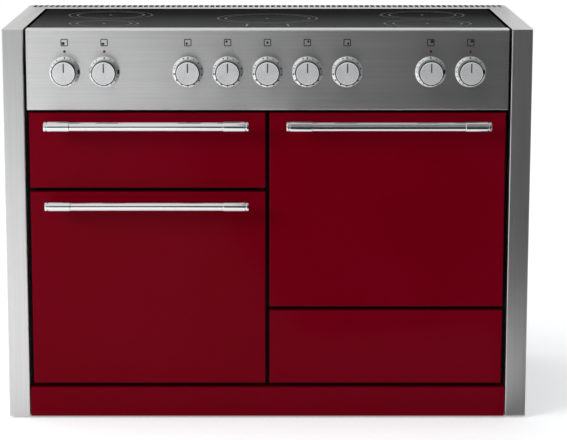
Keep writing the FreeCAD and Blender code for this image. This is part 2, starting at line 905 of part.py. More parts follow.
def hob_seal():
    """The silicone frame that the glass lies in."""
    x_outer = "rail_inner - soft_clearance"
    y_front = "front_plane + fascia_top_depth + soft_clearance"
    y_back = "strip_front - soft_clearance"
    whole = block(
        "seal_block", (f"-({x_outer})", x_outer), (y_front, y_back),
        ("seal_bottom", "glass_top - seal_lip_drop"),
    )
    seat = block(
        "seal_seat",
        ("-glass_half - soft_clearance", "glass_half + soft_clearance"),
        ("glass_front - soft_clearance", "glass_back + soft_clearance"),
        ("glass_bottom", "top_level"),
    )
    window = block(
        "seal_window",
        ("-glass_half + seal_ledge", "glass_half - seal_ledge"),
        ("glass_front + seal_ledge", "glass_back - seal_ledge"),
        ("seal_bottom - cut_overrun", "top_level"),
    )
    return publish(cut("hob_seal", whole, [seat, window]), "hob_seal")


def hob_tray():
    """The steel tray under the glass that holds the power boards and the coil carrier."""
    whole = block(
        "hob_tray_block", ("-hob_tray_half", "hob_tray_half"), ("frame_back", "hob_tray_back"),
        ("hob_tray_bottom", "seal_bottom"),
    )
    hollow = block(
        "hob_tray_hollow",
        ("-hob_tray_half + tray_sheet", "hob_tray_half - tray_sheet"),
        ("frame_back + tray_sheet", "hob_tray_back - tray_sheet"),
        ("hob_tray_bottom + tray_sheet", "seal_bottom + cut_overrun"),
    )
    return publish(cut("hob_tray", whole, [hollow]), "hob_tray")


def coil_carrier():
    """An aluminium plate on two folded sides that holds the coils up to the glass."""
    body = new_body("coil_carrier", y="hob_tray_back - tray_sheet - carrier_gap")
    half = "(hob_tray_half - tray_sheet - carrier_gap)"
    floor = "hob_tray_bottom + tray_sheet"
    profile = [
        (f"-{half}", floor),
        (f"-{half}", "carrier_top"),
        (half, "carrier_top"),
        (half, floor),
        (f"{half} - carrier_sheet", floor),
        (f"{half} - carrier_sheet", "carrier_top - carrier_sheet"),
        (f"-{half} + carrier_sheet", "carrier_top - carrier_sheet"),
        (f"-{half} + carrier_sheet", floor),
    ]
    depth = "hob_tray_back - frame_back - 2 * tray_sheet - 2 * carrier_gap"
    pad(body, outline(new_sketch(body, "XZ_Plane"), profile), depth)
    return publish(body, "coil_carrier")


# Where the cooking zones lie, as shares of half the glass's width and of its depth
ZONE_SHARES = [
    ("left_rear", -0.6936, 0.683, "large_coil_diameter"),
    ("left_front", -0.6954, 0.238, "small_coil_diameter"),
    ("centre", 0, 0.501, "centre_coil_diameter"),
    ("right_rear", 0.6862, 0.683, "large_coil_diameter"),
    ("right_front", 0.6826, 0.238, "large_coil_diameter"),
]


def induction_coils():
    """A flat wound coil with an open eye under each cooking zone."""
    coils = []
    for name, x_share, y_share, diameter in ZONE_SHARES:
        at = (f"{x_share} * glass_half", f"glass_front + {y_share} * glass_depth")
        height = "glass_bottom - soft_clearance - carrier_top"
        winding = wire(
            f"winding_{name}", "z", f"{diameter} / 2", height, (*at, "carrier_top"), sides=24
        )
        eye = wire(
            f"eye_{name}", "z", "coil_eye_diameter / 2", f"{height} + 2 * cut_overrun",
            (*at, "carrier_top - cut_overrun"), sides=12,
        )
        coils.append(cut(f"coil_{name}", winding, [eye]))
    return publish(group("induction_coils", coils), "induction_coils")


def power_boards():
    """A circuit board on four stand-offs with a finned heat sink, one under each side of the hob."""
    floor = "hob_tray_bottom + tray_sheet"
    board_bottom = f"({floor} + board_rise)"
    board_top = f"({board_bottom} + board_thickness)"
    y_middle = "(frame_back + hob_tray_back) / 2"
    pieces = []
    for side in ("-", ""):
        x_middle = f"{side}glass_half / 2"
        feet = [
            wire(
                "board_foot", "z", "board_foot_diameter / 2", "board_rise",
                (f"{x_middle} {across} (board_width / 2 - board_foot_inset)",
                 f"{y_middle} {along} (board_depth / 2 - board_foot_inset)", floor),
            )
            for across in "+-"
            for along in "+-"
        ]
        board = block(
            "board",
            (f"{x_middle} - board_width / 2", f"{x_middle} + board_width / 2"),
            (f"{y_middle} - board_depth / 2", f"{y_middle} + board_depth / 2"),
            (board_bottom, board_top),
        )
        pieces += [fuse("board_on_feet", feet + [board]), heatsink(x_middle, y_middle, board_top)]
    return publish(group("power_boards", pieces), "power_boards")


def heatsink(x_middle, y_middle, bottom):
    """An extruded comb of fins on a base."""
    x_low = f"({x_middle} - heatsink_width / 2)"
    y_limits = (f"{y_middle} - heatsink_depth / 2", f"{y_middle} + heatsink_depth / 2")
    pitch = "(heatsink_width - fin_thickness) / (fin_count - 1)"
    base = block(
        "heatsink_base", (x_low, f"{x_low} + heatsink_width"), y_limits,
        (bottom, f"{bottom} + heatsink_base"),
    )
    fins = [
        block(
            "heatsink_fin",
            (f"{x_low} + {index} * {pitch}", f"{x_low} + {index} * {pitch} + fin_thickness"),
            y_limits,
            (bottom, f"{bottom} + heatsink_height"),
        )
        for index in range(int(value("fin_count")))
    ]
    return fuse("heatsink", [base] + fins)


def vent_rail():
    """The steel strip behind the glass, folded from the slotted vent across the rear."""
    body = new_body("vent_rail", z="top_level")
    skin = "steel_sheet"
    profile = [
        ("strip_front", "-vent_strip_fold"),
        ("strip_front", "0"),
        ("rear_plane", "0"),
        ("rear_plane", "-vent_height"),
        (f"rear_plane - {skin}", "-vent_height"),
        (f"rear_plane - {skin}", f"-{skin}"),
        (f"strip_front + {skin}", f"-{skin}"),
        (f"strip_front + {skin}", "-vent_strip_fold"),
    ]
    pad(body, outline(new_sketch(body, "YZ_Plane"), profile), "range_width", middle=True)
    for start in ("-range_width / 2", f"range_width / 2 - {skin}"):
        end_cap = new_sketch(body, "YZ_Plane", start)
        rectangle(end_cap, ("vent_front", "rear_plane"), ("-vent_height", "0"))
        pad(body, end_cap, skin)
    corners = new_sketch(body, "XY_Plane")
    inner = "rail_inner - soft_clearance"
    outer = "range_width / 2 + cut_overrun"
    for u_limits in ((f"-({outer})", f"-({inner})"), (inner, outer)):
        rectangle(corners, u_limits, ("strip_front - cut_overrun", "vent_front"))
    pocket(body, corners, "vent_height")
    slot = new_sketch(body, "XY_Plane")
    first = "-(slot_count - 1) * slot_pitch / 2"
    y_front = "vent_front + slot_front"
    rectangle(
        slot, (f"{first} - slot_width / 2", f"{first} + slot_width / 2"),
        (y_front, f"{y_front} + slot_length"),
    )
    opening = pocket(body, slot, f"{skin} + cut_overrun")
    repeat_along(body, opening, slot, "(slot_count - 1) * slot_pitch", "slot_count")
    return publish(body, "vent_rail")


# Ovens and grill

def cavity(node, x_middle, floor, height, back):
    """A pressed steel box that opens to the front, with a flange that meets the front frame."""
    body = new_body(node, x=x_middle, y=back, z=floor)
    skin = "muffle_sheet"
    depth = f"({back} - frame_back)"
    outer = rectangle(
        new_sketch(body, "XZ_Plane"),
        (f"-muffle_half - {skin}", f"muffle_half + {skin}"),
        (f"-{skin}", f"{height} + {skin}"),
    )
    bind(outer, "AttachmentOffset.Base.z", f"-{skin}")
    pad(body, outer, f"{depth} + {skin}")
    flange = rectangle(
        new_sketch(body, "XZ_Plane", f"{depth} - {skin}"),
        ("-muffle_half - muffle_flange", "muffle_half + muffle_flange"),
        ("-muffle_flange", f"{height} + muffle_flange"),
    )
    pad(body, flange, skin)
    inside = rectangle(
        new_sketch(body, "XZ_Plane"), ("-muffle_half", "muffle_half"), ("0", height)
    )
    hollow = pocket(body, inside, depth, ahead=True)
    half = value("muffle_half")

    def inner_corners(edge):
        return runs(edge, Y_WAY) and near(abs(edge.BoundBox.XMin), half)

    soften(body, hollow, inner_corners, "muffle_corner_radius")
    return body


def wall_holes(body, places, radius):
    """Round holes through the rear wall of a cavity."""
    holes = new_sketch(body, "XZ_Plane", "cut_overrun")
    for u, v in places:
        circle(holes, u, v, radius)
    return pocket(body, holes, "muffle_sheet + 2 * cut_overrun")


def oven_cavity(node, x_middle, bottom):
    body = cavity(node, x_middle, f"{bottom} + muffle_floor_rise", "cavity_height", "muffle_back")
    wall_holes(body, [("0", "cavity_height / 2")], "fan_shaft_diameter / 2 + shaft_hole_clearance")
    tails = [
        ("-element_tail_spacing / 2", "cavity_height / 2 - ring_element_diameter / 2"),
        ("element_tail_spacing / 2", "cavity_height / 2 - ring_element_diameter / 2"),
    ]
    wall_holes(body, tails, "element_diameter / 2 + axle_clearance")
    return publish(body, node)


def grill_cavity():
    """The shallow grill box, with a ledge on each side for the pan."""
    body = cavity(
        "grill_cavity", "-door_middle", "grill_bottom + grill_floor_rise", "grill_height", "grill_back"
    )
    depth = "grill_back - frame_back"
    for limits in (
        ("-muffle_half", "-muffle_half + ledge_width"),
        ("muffle_half - ledge_width", "muffle_half"),
    ):
        ledge = rectangle(
            new_sketch(body, "XZ_Plane"), limits, ("ledge_rise", "ledge_rise + ledge_height")
        )
        pad(body, ledge, depth)
    tail = "muffle_half - grill_element_inset"
    level = "grill_height - grill_element_drop"
    wall_holes(
        body, [(f"-({tail})", level), (tail, level)], "element_diameter / 2 + axle_clearance"
    )
    return publish(body, "grill_cavity")


OVENS = [
    ("left", "-door_middle", "lower_bottom + muffle_floor_rise"),
    ("right", "door_middle", "upper_bottom + muffle_floor_rise"),
]


def door_gaskets():
    """A woven seal round the mouth of each cavity."""
    mouths = [(x, floor, "cavity_height") for _, x, floor in OVENS]
    mouths.append(("-door_middle", "grill_bottom + grill_floor_rise", "grill_height"))
    rings = []
    for x_middle, floor, height in mouths:
        y_limits = ("frame_front - gasket_thickness", "frame_front")
        inner = "(muffle_half + gasket_margin)"
        outer = "(muffle_half + gasket_margin + gasket_width)"
        whole = block(
            "gasket_block", (f"{x_middle} - {outer}", f"{x_middle} + {outer}"), y_limits,
            (f"{floor} - gasket_margin - gasket_width",
             f"{floor} + {height} + gasket_margin + gasket_width"),
        )
        mouth = block(
            "gasket_mouth", (f"{x_middle} - {inner}", f"{x_middle} + {inner}"),
            (f"{y_limits[0]} - cut_overrun", f"{y_limits[1]} + cut_overrun"),
            (f"{floor} - gasket_margin", f"{floor} + {height} + gasket_margin"),
        )
        rings.append(cut("gasket", whole, [mouth]))
    return publish(group("door_gaskets", rings), "door_gaskets")


def grill_element():
    """One heating rod bent into four legs under the roof of the grill."""
    radius = value("element_diameter / 2")
    bend = value("grill_element_bend")
    half = value("muffle_half - grill_element_inset")
    start = value("grill_back - frame_back")
    front = bend
    level = value("grill_height - grill_element_drop")
    back = start - value("grill_element_inset")
    tail = start + value("muffle_sheet + element_tail_reach")
    step = 2 * half / 3
    corners = [
        Vector(-half, tail, level),
        Vector(-half, front, level),
        Vector(-half + step, front, level),
        Vector(-half + step, back, level),
        Vector(half - step, back, level),
        Vector(half - step, front, level),
        Vector(half, front, level),
        Vector(half, tail, level),
    ]
    rod_shape = bent_rod(corners, radius, bend)
    feature = doc.addObject("Part::Feature", "grill_element")
    feature.Shape = rod_shape
    place(feature, "-door_middle", "frame_back", "grill_bottom + grill_floor_rise")
    return publish(feature, "grill_element")


def bent_rod(corners, radius, bend):
    """A thin six-sided rod along straight runs, with a tangent arc at each corner."""
    edges = []
    last = corners[0]
    for before, corner, after in zip(corners, corners[1:], corners[2:]):
        into = (corner - before).normalize()
        out = (after - corner).normalize()
        setback = bend * math.tan(into.getAngle(out) / 2)
        arc_start = corner - into * setback
        arc_end = corner + out * setback
        centre_way = (out - into).normalize()
        reach = math.hypot(bend, setback) - bend
        edges.append(Part.makeLine(last, arc_start))
        edges.append(Part.Arc(arc_start, corner + centre_way * reach, arc_end).toShape())
        last = arc_end
    edges.append(Part.makeLine(last, corners[-1]))
    path = Part.Wire(edges)
    start_way = (corners[1] - corners[0]).normalize()
    across = start_way.cross(Z_WAY).normalize()
    ring = [
        corners[0] + (across * math.cos(turn) + Z_WAY * math.sin(turn)) * radius
        for turn in (math.radians(60 * step) for step in range(7))
    ]
    return path.makePipeShell([Part.makePolygon(ring)], True, True)


def ring_elements():
    """A looped rod round each oven fan, with two tails through the rear wall."""
    loops = []
    for name, x_middle, floor in OVENS:
        y_ring = "muffle_back - ring_element_gap"
        z_middle = f"({floor} + cavity_height / 2)"
        radius = "element_diameter / 2"
        whole = wire(
            f"loop_outer_{name}", "y", f"ring_element_diameter / 2 + {radius}", "element_diameter",
            (x_middle, f"{y_ring} - {radius}", z_middle), sides=24,
        )
        middle = wire(
            f"loop_inner_{name}", "y", f"ring_element_diameter / 2 - {radius}",
            "element_diameter + 2 * cut_overrun",
            (x_middle, f"{y_ring} - {radius} - cut_overrun", z_middle), sides=24,
        )
        loop = cut(f"loop_{name}", whole, [middle])
        tails = [
            wire(
                f"tail_{name}", "y", "element_diameter / 2",
                "ring_element_gap + muffle_sheet + element_tail_reach",
                (f"{x_middle} {way} element_tail_spacing / 2", y_ring,
                 f"{z_middle} - ring_element_diameter / 2"),
            )
            for way in "+-"
        ]
        loops.append(fuse(f"ring_element_{name}", [loop] + tails))
    return publish(group("ring_elements", loops), "ring_elements")


def fan_covers():
    """A pierced pan over each oven fan, with slots along both sides."""
    covers = []
    half = "fan_cover_size / 2"
    for name, x_middle, floor in OVENS:
        body = new_body(
            f"fan_cover_{name}", x=x_middle, y="muffle_back", z=f"{floor} + cavity_height / 2"
        )
        whole = rectangle(new_sketch(body, "XZ_Plane"), (f"-{half}", half), (f"-{half}", half))
        slab = pad(body, whole, "fan_cover_depth")
        front = -value("fan_cover_depth")
        soften(
            body, slab,
            lambda edge, front=front: not runs(edge, Y_WAY) and near(edge.BoundBox.YMax, front),
            "2 * fan_cover_sheet",
        )
        inner = (f"-{half} + fan_cover_sheet", f"{half} - fan_cover_sheet")
        hollow = rectangle(new_sketch(body, "XZ_Plane"), inner, inner)
        pocket(body, hollow, "fan_cover_depth - fan_cover_sheet", ahead=True)
        side = new_sketch(body, "YZ_Plane")
        middle = "-fan_cover_depth / 2"
        rectangle(
            side, (f"{middle} - side_slot_width / 2", f"{middle} + side_slot_width / 2"),
            ("-side_slot_length / 2", "side_slot_length / 2"),
        )
        pocket(body, side, "fan_cover_size + cut_overrun", middle=True)
        petal = new_sketch(body, "XZ_Plane", "fan_cover_depth")
        rectangle(
            petal, ("-fan_slot_width / 2", "fan_slot_width / 2"),
            ("fan_slot_start + fan_slot_width", "fan_slot_start + fan_slot_width + fan_slot_length"),
        )
        opening = pocket(body, petal, "fan_cover_sheet + cut_overrun")
        repeat_around(body, opening, petal, "fan_slot_count")
        covers.append(body)
    return publish(group("fan_covers", covers), "fan_covers")


def oven_fan(node, x_middle, floor):
    """A backed radial fan on its shaft, which runs in the motor's bearing."""
    body = new_body(
        node, x=x_middle, y="muffle_back - fan_wall_gap", z=f"{floor} + cavity_height / 2",
        turn=OUTWARD,
    )
    disc = new_sketch(body, "XY_Plane")
    circle(disc, "0", "0", "fan_diameter / 2")
    pad(body, disc, "fan_back")
    hub = new_sketch(body, "XY_Plane")
    circle(hub, "0", "0", "fan_hub_diameter / 2")
    pad(body, hub, "fan_blade_height / 2")
    shaft = new_sketch(body, "XY_Plane", "-(fan_wall_gap + muffle_sheet + fan_shaft_grip)")
    circle(shaft, "0", "0", "fan_shaft_diameter / 2")
    pad(body, shaft, "fan_wall_gap + muffle_sheet + fan_shaft_grip + fan_back")
    blade = new_sketch(body, "XY_Plane")
    rectangle(
        blade, ("-fan_blade_thickness / 2", "fan_blade_thickness / 2"),
        ("fan_diameter / 2 - fan_blade_length", "fan_diameter / 2 - fan_blade_thickness"),
    )
    vane = pad(body, blade, "fan_blade_height")
    repeat_around(body, vane, blade, "fan_blade_count")
    return publish(body, node)


def oven_motor(name, x_middle, floor):
    """A shaded-pole motor behind the rear wall, on a square plate with a bearing bore."""
    z_middle = f"({floor} + cavity_height / 2)"
    y_wall = "(muffle_back + muffle_sheet)"
    plate = block(
        f"motor_plate_{name}",
        (f"{x_middle} - motor_plate_size / 2", f"{x_middle} + motor_plate_size / 2"),
        (y_wall, f"{y_wall} + motor_plate_thickness"),
        (f"{z_middle} - motor_plate_size / 2", f"{z_middle} + motor_plate_size / 2"),
    )
    can = rod(
        f"motor_can_{name}", "y", "motor_diameter / 2", "motor_length", (x_middle, y_wall, z_middle)
    )
    bore = rod(
        f"motor_bore_{name}", "y", "fan_shaft_diameter / 2 + running_clearance",
        "fan_shaft_grip + cut_overrun + soft_clearance",
        (x_middle, f"{y_wall} - cut_overrun", z_middle),
    )
    return cut(f"motor_{name}", fuse(f"motor_whole_{name}", [plate, can]), [bore])


def blower_place():
    """Where the cooling blower's shaft lies, in depth and height."""
    gap = "(blower_rotor_diameter / 2 + blower_gap)"
    y_axis = f"(front_plane + side_depth - blower_sheet - {gap})"
    z_axis = f"(hob_tray_bottom - blower_drop - {gap})"
    return gap, y_axis, z_axis


def blower_motor():
    """The small motor on the end of the blower, which bears the rotor's shaft."""
    _, y_axis, z_axis = blower_place()
    start = "(blower_rotor_length / 2 + blower_end_gap + blower_sheet)"
    can = rod(
        "blower_motor_can", "x", "blower_motor_diameter / 2", "blower_motor_length",
        (start, y_axis, z_axis),
    )
    bore = rod(
        "blower_motor_bore", "x", "fan_shaft_diameter / 2 + running_clearance",
        "fan_shaft_grip + cut_overrun + soft_clearance",
        (f"{start} - cut_overrun", y_axis, z_axis),
    )
    return cut("blower_motor", can, [bore])


def fan_motors():
    motors = [oven_motor(name, x_middle, floor) for name, x_middle, floor in OVENS]
    return publish(group("fan_motors", motors + [blower_motor()]), "fan_motors")


def blower_housing():
    """The sheet channel round the cooling rotor, open upwards to the vent, with a bearing at each end."""
    gap, y_axis, z_axis = blower_place()
    skin = "blower_sheet"
    half = "(blower_rotor_length / 2 + blower_end_gap)"
    front = f"({y_axis} - {gap})"
    back = f"({y_axis} + {gap})"
    low = f"({z_axis} - {gap})"
    high = f"({z_axis} + {gap})"
    whole = block(
        "blower_block", (f"-{half} - {skin}", f"{half} + {skin}"),
        (f"{front} - {skin}", f"{back} + {skin}"), (f"{low} - {skin}", high),
    )
    hollow = block(
        "blower_hollow", (f"-{half}", half), (front, back), (low, f"{high} + cut_overrun")
    )
    intake = block(
        "blower_intake",
        (f"-{half} + blower_end_gap", f"{half} - blower_end_gap"),
        (f"{front} - {skin} - cut_overrun", f"{front} + cut_overrun"),
        (f"{z_axis} - {gap} / 2", f"{z_axis} + {gap} / 2"),
    )
    bearings = rod(
        "blower_bearings", "x", "fan_shaft_diameter / 2 + running_clearance",
        f"2 * ({half} + {skin} + cut_overrun)",
        (f"-{half} - {skin} - cut_overrun", y_axis, z_axis),
    )
    housing = cut("blower_housing", whole, [hollow, intake, bearings])
    return publish(housing, "blower_housing")


def blower_rotor():
    """A long drum of blades between two discs."""
    _, y_axis, z_axis = blower_place()
    half = "(blower_rotor_length / 2)"
    body = new_body("blower_rotor", y=y_axis, z=z_axis)
    for start in (f"-{half}", f"{half} - blower_disc"):
        disc = new_sketch(body, "YZ_Plane", start)
        circle(disc, "0", "0", "blower_rotor_diameter / 2")
        pad(body, disc, "blower_disc")
        if start.startswith("-"):
            shaft = new_sketch(body, "YZ_Plane", f"-{half} - blower_end_gap - blower_sheet")
            circle(shaft, "0", "0", "fan_shaft_diameter / 2")
            length = "blower_rotor_length + 2 * blower_end_gap + 2 * blower_sheet + fan_shaft_grip"
            pad(body, shaft, length)
    blade = new_sketch(body, "YZ_Plane", f"-{half}")
    rectangle(
        blade, ("-blower_blade_thickness / 2", "blower_blade_thickness / 2"),
        ("blower_rotor_diameter / 2 - blower_blade_length",
         "blower_rotor_diameter / 2 - blower_blade_thickness"),
    )
    vane = pad(body, blade, "blower_rotor_length")
    repeat_around(body, vane, blade, "blower_blade_count")
    return publish(body, "blower_rotor")


def oven_lamps():
    """A glass dome high on the rear wall of each oven."""
    domes = []
    for name, x_middle, floor in OVENS:
        body = new_body(
            f"lens_{name}", x=f"{x_middle} + muffle_half - lens_inset", y="muffle_back",
            z=f"{floor} + cavity_height - lens_inset", turn=OUTWARD,
        )
        profile = [
            ("0", "0"),
            ("lens_diameter / 2", "0"),
            ("lens_diameter / 2", "lens_height / 3"),
            ("lens_diameter / 3", "lens_height"),
            ("0", "lens_height"),
        ]
        revolve(body, outline(new_sketch(body, "XZ_Plane"), profile))
        domes.append(body)
    return publish(group("oven_lamps", domes), "oven_lamps")


def shelf_ladders():
    """A chromed wire ladder on each side wall of both ovens."""
    ladders = []
    radius = "wire_diameter / 2"
    for _, x_middle, floor in OVENS:
        for side in "+-":
            x_wall = f"{x_middle} {side} (muffle_half - {radius} - soft_clearance)"
            x_rail = f"{x_middle} {side} (muffle_half - 1.5 * wire_diameter - soft_clearance)"
            uprights = [
                wire(
                    "ladder_upright", "z", radius, "(ladder_levels - 1) * ladder_pitch + 2 * ladder_foot",
                    (x_wall, f"frame_back + ladder_front + {share} * ladder_length",
                     f"{floor} + ladder_pitch - ladder_foot"),
                )
                for share in (0, 1)
            ]
            rails = [
                wire(
                    "ladder_rail", "y", radius, "ladder_length + 2 * ladder_foot",
                    (x_rail, "frame_back + ladder_front - ladder_foot",
                     f"{floor} + {level + 1} * ladder_pitch"),
                )
                for level in range(int(value("ladder_levels")))
            ]
            cross_ties = [
                block(
                    "ladder_tie",
                    (f"{x_middle} {side} (muffle_half - wire_diameter - soft_clearance) - {radius}",
                     f"{x_middle} {side} (muffle_half - wire_diameter - soft_clearance) + {radius}"),
                    (f"frame_back + ladder_front + {share} * ladder_length - {radius} / 2",
                     f"frame_back + ladder_front + {share} * ladder_length + {radius} / 2"),
                    (f"{floor} + {level + 1} * ladder_pitch - {radius} / 2",
                     f"{floor} + {level + 1} * ladder_pitch + {radius} / 2"),
                )
                for share in (0, 1)
                for level in range(int(value("ladder_levels")))
            ]
            ladders.append(fuse("ladder", uprights + rails + cross_ties))
    return publish(group("shelf_ladders", ladders), "shelf_ladders")


def wire_shelf(name, x_middle, z_rail, gauge, half, front, depth, count):
    """A frame of four rods with thinner wires from front to back."""
    radius = f"({gauge} / 2)"
    sides = [
        wire(f"{name}_side", "y", radius, depth, (f"{x_middle} {side} {half}", front, z_rail))
        for side in "+-"
    ]
    ends = [
        wire(
            f"{name}_end", "x", radius, f"2 * {half}",
            (f"{x_middle} - {half}", f"{front} + {share} * ({depth} - {gauge}) + {radius}", z_rail),
        )
        for share in (0, 1)
    ]
    wires = [
        wire(
            f"{name}_wire", "y", f"{radius} * inner_wire_share", f"{depth} - {gauge}",
            (f"{x_middle} - {half} + {index + 1} * 2 * {half} / ({count} + 1)",
             f"{front} + {radius}", z_rail),
        )
        for index in range(int(value(count)))
    ]
    return fuse(name, sides + ends + wires)


def oven_shelves():
    """Two wire shelves in each oven, which rest on the ladders."""
    shelves = []
    half = "(muffle_half - 1.5 * wire_diameter - soft_clearance - shelf_side_gap)"
    for name, x_middle, floor in OVENS:
        for level in (1, 2):
            z_rail = f"{floor} + {level} * ladder_pitch + shelf_seat"
            shelves.append(
                wire_shelf(
                    f"shelf_{name}", x_middle, z_rail, "wire_diameter", half,
                    "frame_back + shelf_front", "shelf_depth", "shelf_wire_count",
                )
            )
    return publish(group("oven_shelves", shelves), "oven_shelves")


def grill_pan():
    """An enamelled pan with a rim that rests on the ledges."""
    floor = "(grill_bottom + grill_floor_rise + ledge_rise + ledge_height)"
    half = "(muffle_half - pan_side_gap)"
    inner = "(muffle_half - pan_side_gap - grill_pan_rim)"
    front = "(frame_back + grill_pan_front)"
    back = f"({front} + grill_pan_depth)"
    skin = "grill_pan_sheet"
    bottom = f"({floor} - grill_pan_height)"
    rim = block(
        "pan_rim", (f"-door_middle - {half}", f"-door_middle + {half}"), (front, back),
        (floor, f"{floor} + {skin}"),
    )
    bowl = block(
        "pan_bowl", (f"-door_middle - {inner}", f"-door_middle + {inner}"),
        (f"{front} + grill_pan_rim", f"{back} - grill_pan_rim"), (bottom, f"{floor} + {skin}"),
    )
    hollow = block(
        "pan_hollow", (f"-door_middle - {inner} + {skin}", f"-door_middle + {inner} - {skin}"),
        (f"{front} + grill_pan_rim + {skin}", f"{back} - grill_pan_rim - {skin}"),
        (f"{bottom} + {skin}", f"{floor} + {skin} + cut_overrun"),
    )
    return publish(cut("grill_pan", fuse("pan_whole", [rim, bowl]), [hollow]), "grill_pan")


def grill_rack():
    """The wire trivet that lies in the grill pan."""
    top = "(grill_bottom + grill_floor_rise + ledge_rise + ledge_height + grill_pan_sheet)"
    half = "(muffle_half - pan_side_gap - grill_pan_rim / 2)"
    rack = wire_shelf(
        "grill_rack", "-door_middle", f"{top} + rack_wire_diameter / 2", "rack_wire_diameter", half,
        "frame_back + grill_pan_front + grill_pan_rim / 2", "grill_pan_depth - grill_pan_rim",
        "shelf_wire_count",
    )
    return publish(rack, "grill_rack")


# Doors

DOORS = [
    ("grill_door", "-door_middle", "grill_bottom", "short_door_height"),
    ("left_door", "-door_middle", "lower_bottom", "tall_door_height"),
    ("right_door", "door_middle", "upper_bottom", "tall_door_height"),
]
HINGE_SIDES = "+-"


def hinge_middle(side):
    """Where a hinge arm lies, from the middle of its door."""
    return f"{side} (door_width / 2 - hinge_inset)"


def front_pan(name, x_middle, bottom, height):
    """A pressed panel folded back on all four sides and in again behind."""
    body = new_body(name, x=x_middle, y="pan_back", z=bottom)
    half = "door_width / 2"
    whole = rectangle(new_sketch(body, "XZ_Plane"), (f"-{half}", half), ("0", height))
    slab = pad(body, whole, "pan_depth")
    front = -value("pan_depth")
    soften(body, slab, lambda edge: near(edge.BoundBox.YMax, front), "door_corner_radius")
    skin = "steel_sheet"
    inside = rectangle(
        new_sketch(body, "XZ_Plane", skin), (f"-{half} + {skin}", f"{half} - {skin}"),
        (skin, f"{height} - {skin}"),
    )
    pocket(body, inside, f"pan_depth - 2 * {skin}", ahead=True)
    window = rectangle(
        new_sketch(body, "XZ_Plane"), (f"-{half} + pan_flange", f"{half} - pan_flange"),
        ("pan_flange", f"{height} - pan_flange"),
    )
    pocket(body, window, f"2 * {skin}", ahead=True)
    return body


def door_panel(node, x_middle, bottom, height):
    """The enamelled front of a door, slotted at its foot for the hinge arms."""
    body = front_pan(f"{node}_pan", x_middle, bottom, height)
    cutters = []
    for side in HINGE_SIDES:
        x_arm = f"{x_middle} {hinge_middle(side)}"
        half_slot = "(hinge_thickness / 2 + hinge_slot_gap)"
        cutters.append(
            block(
                "hinge_slot", (f"{x_arm} - {half_slot}", f"{x_arm} + {half_slot}"),
                ("front_plane + pivot_depth - pivot_rise", "pan_back + cut_overrun"),
                (f"{bottom} - cut_overrun", f"{bottom} + pivot_rise + hinge_height"),
            )
        )
        x_hole = f"{x_middle} {side} (door_width / 2)"
        cutters.append(
            rod(
                "pin_hole", "x", "pin_diameter / 2 + axle_clearance", "2 * cut_overrun",
                (f"{x_hole} - cut_overrun", "front_plane + pivot_depth", f"{bottom} + pivot_rise"),
            )
        )
    return publish(cut(f"{node}_panel", body, cutters), f"{node}_panel")


def door_liner(node, x_middle, bottom, height):
    """The enamelled inner face of a door, a pan that opens towards the door's front."""
    body = new_body(f"{node}_liner", x=x_middle, y="liner_back", z=bottom)
    half = "(door_width / 2 - liner_side_inset)"
    low = "liner_inset"
    high = f"{height} - liner_inset"
    skin = "steel_sheet"
    whole = rectangle(new_sketch(body, "XZ_Plane"), (f"-{half}", half), (low, high))
    slab = pad(body, whole, "liner_depth")
    soften(body, slab, lambda edge: runs(edge, Y_WAY), "liner_corner_radius")
    inside = rectangle(
        new_sketch(body, "XZ_Plane", skin), (f"-{half} + 2 * {skin}", f"{half} - 2 * {skin}"),
        (f"{low} + 2 * {skin}", f"{high} - 2 * {skin}"),
    )
    pocket(body, inside, "liner_depth", ahead=True)
    return publish(body, f"{node}_liner")


def door_handle(node, x_middle, bottom, height):
    """A straight bar between two end fittings, each on a post that stands off the door."""
    z_axis = f"({bottom} + {height} - handle_drop)"
    half = "(door_width / 2 - handle_inset)"
    bar_half = "(door_width / 2 - handle_inset - ferrule_length - button_groove - button_length)"
    y_axis = "(front_plane - handle_reach)"
    bar = rod(
        f"{node}_bar", "x", "bar_diameter / 2", f"2 * {bar_half}",
        (f"{x_middle} - {bar_half}", y_axis, z_axis),
    )
    pieces = [bar]
    for side in "+-":
        body = new_body(f"{node}_end", x=x_middle, y=y_axis, z=z_axis)
        radius = "ferrule_diameter / 2"
        neck = "ferrule_diameter / 2 - button_groove_depth"
        stops = [
            bar_half,
            f"{bar_half} + ferrule_length",
            f"{bar_half} + ferrule_length + button_groove",
            half,
        ]
        low = "-" if side == "-" else ""
        profile = [
            (f"{low}{stops[0]}", "0"),
            (f"{low}{stops[0]}", radius),
            (f"{low}({stops[1]})", radius),
            (f"{low}({stops[1]})", neck),
            (f"{low}({stops[2]})", neck),
            (f"{low}({stops[2]})", radius),
            (f"{low}{stops[3]}", radius),
            (f"{low}{stops[3]}", "0"),
        ]
        revolve(body, outline(new_sketch(body, "XZ_Plane"), profile), "H_Axis")
        x_post = f"{low}({half} - post_inset)"
        post = new_sketch(body, "XZ_Plane", "-handle_reach")
        circle(post, x_post, "0", "post_diameter / 2")
        pad(body, post, "handle_reach")
        pieces.append(body)
    return publish(group(f"{node}_handle", pieces), f"{node}_handle")


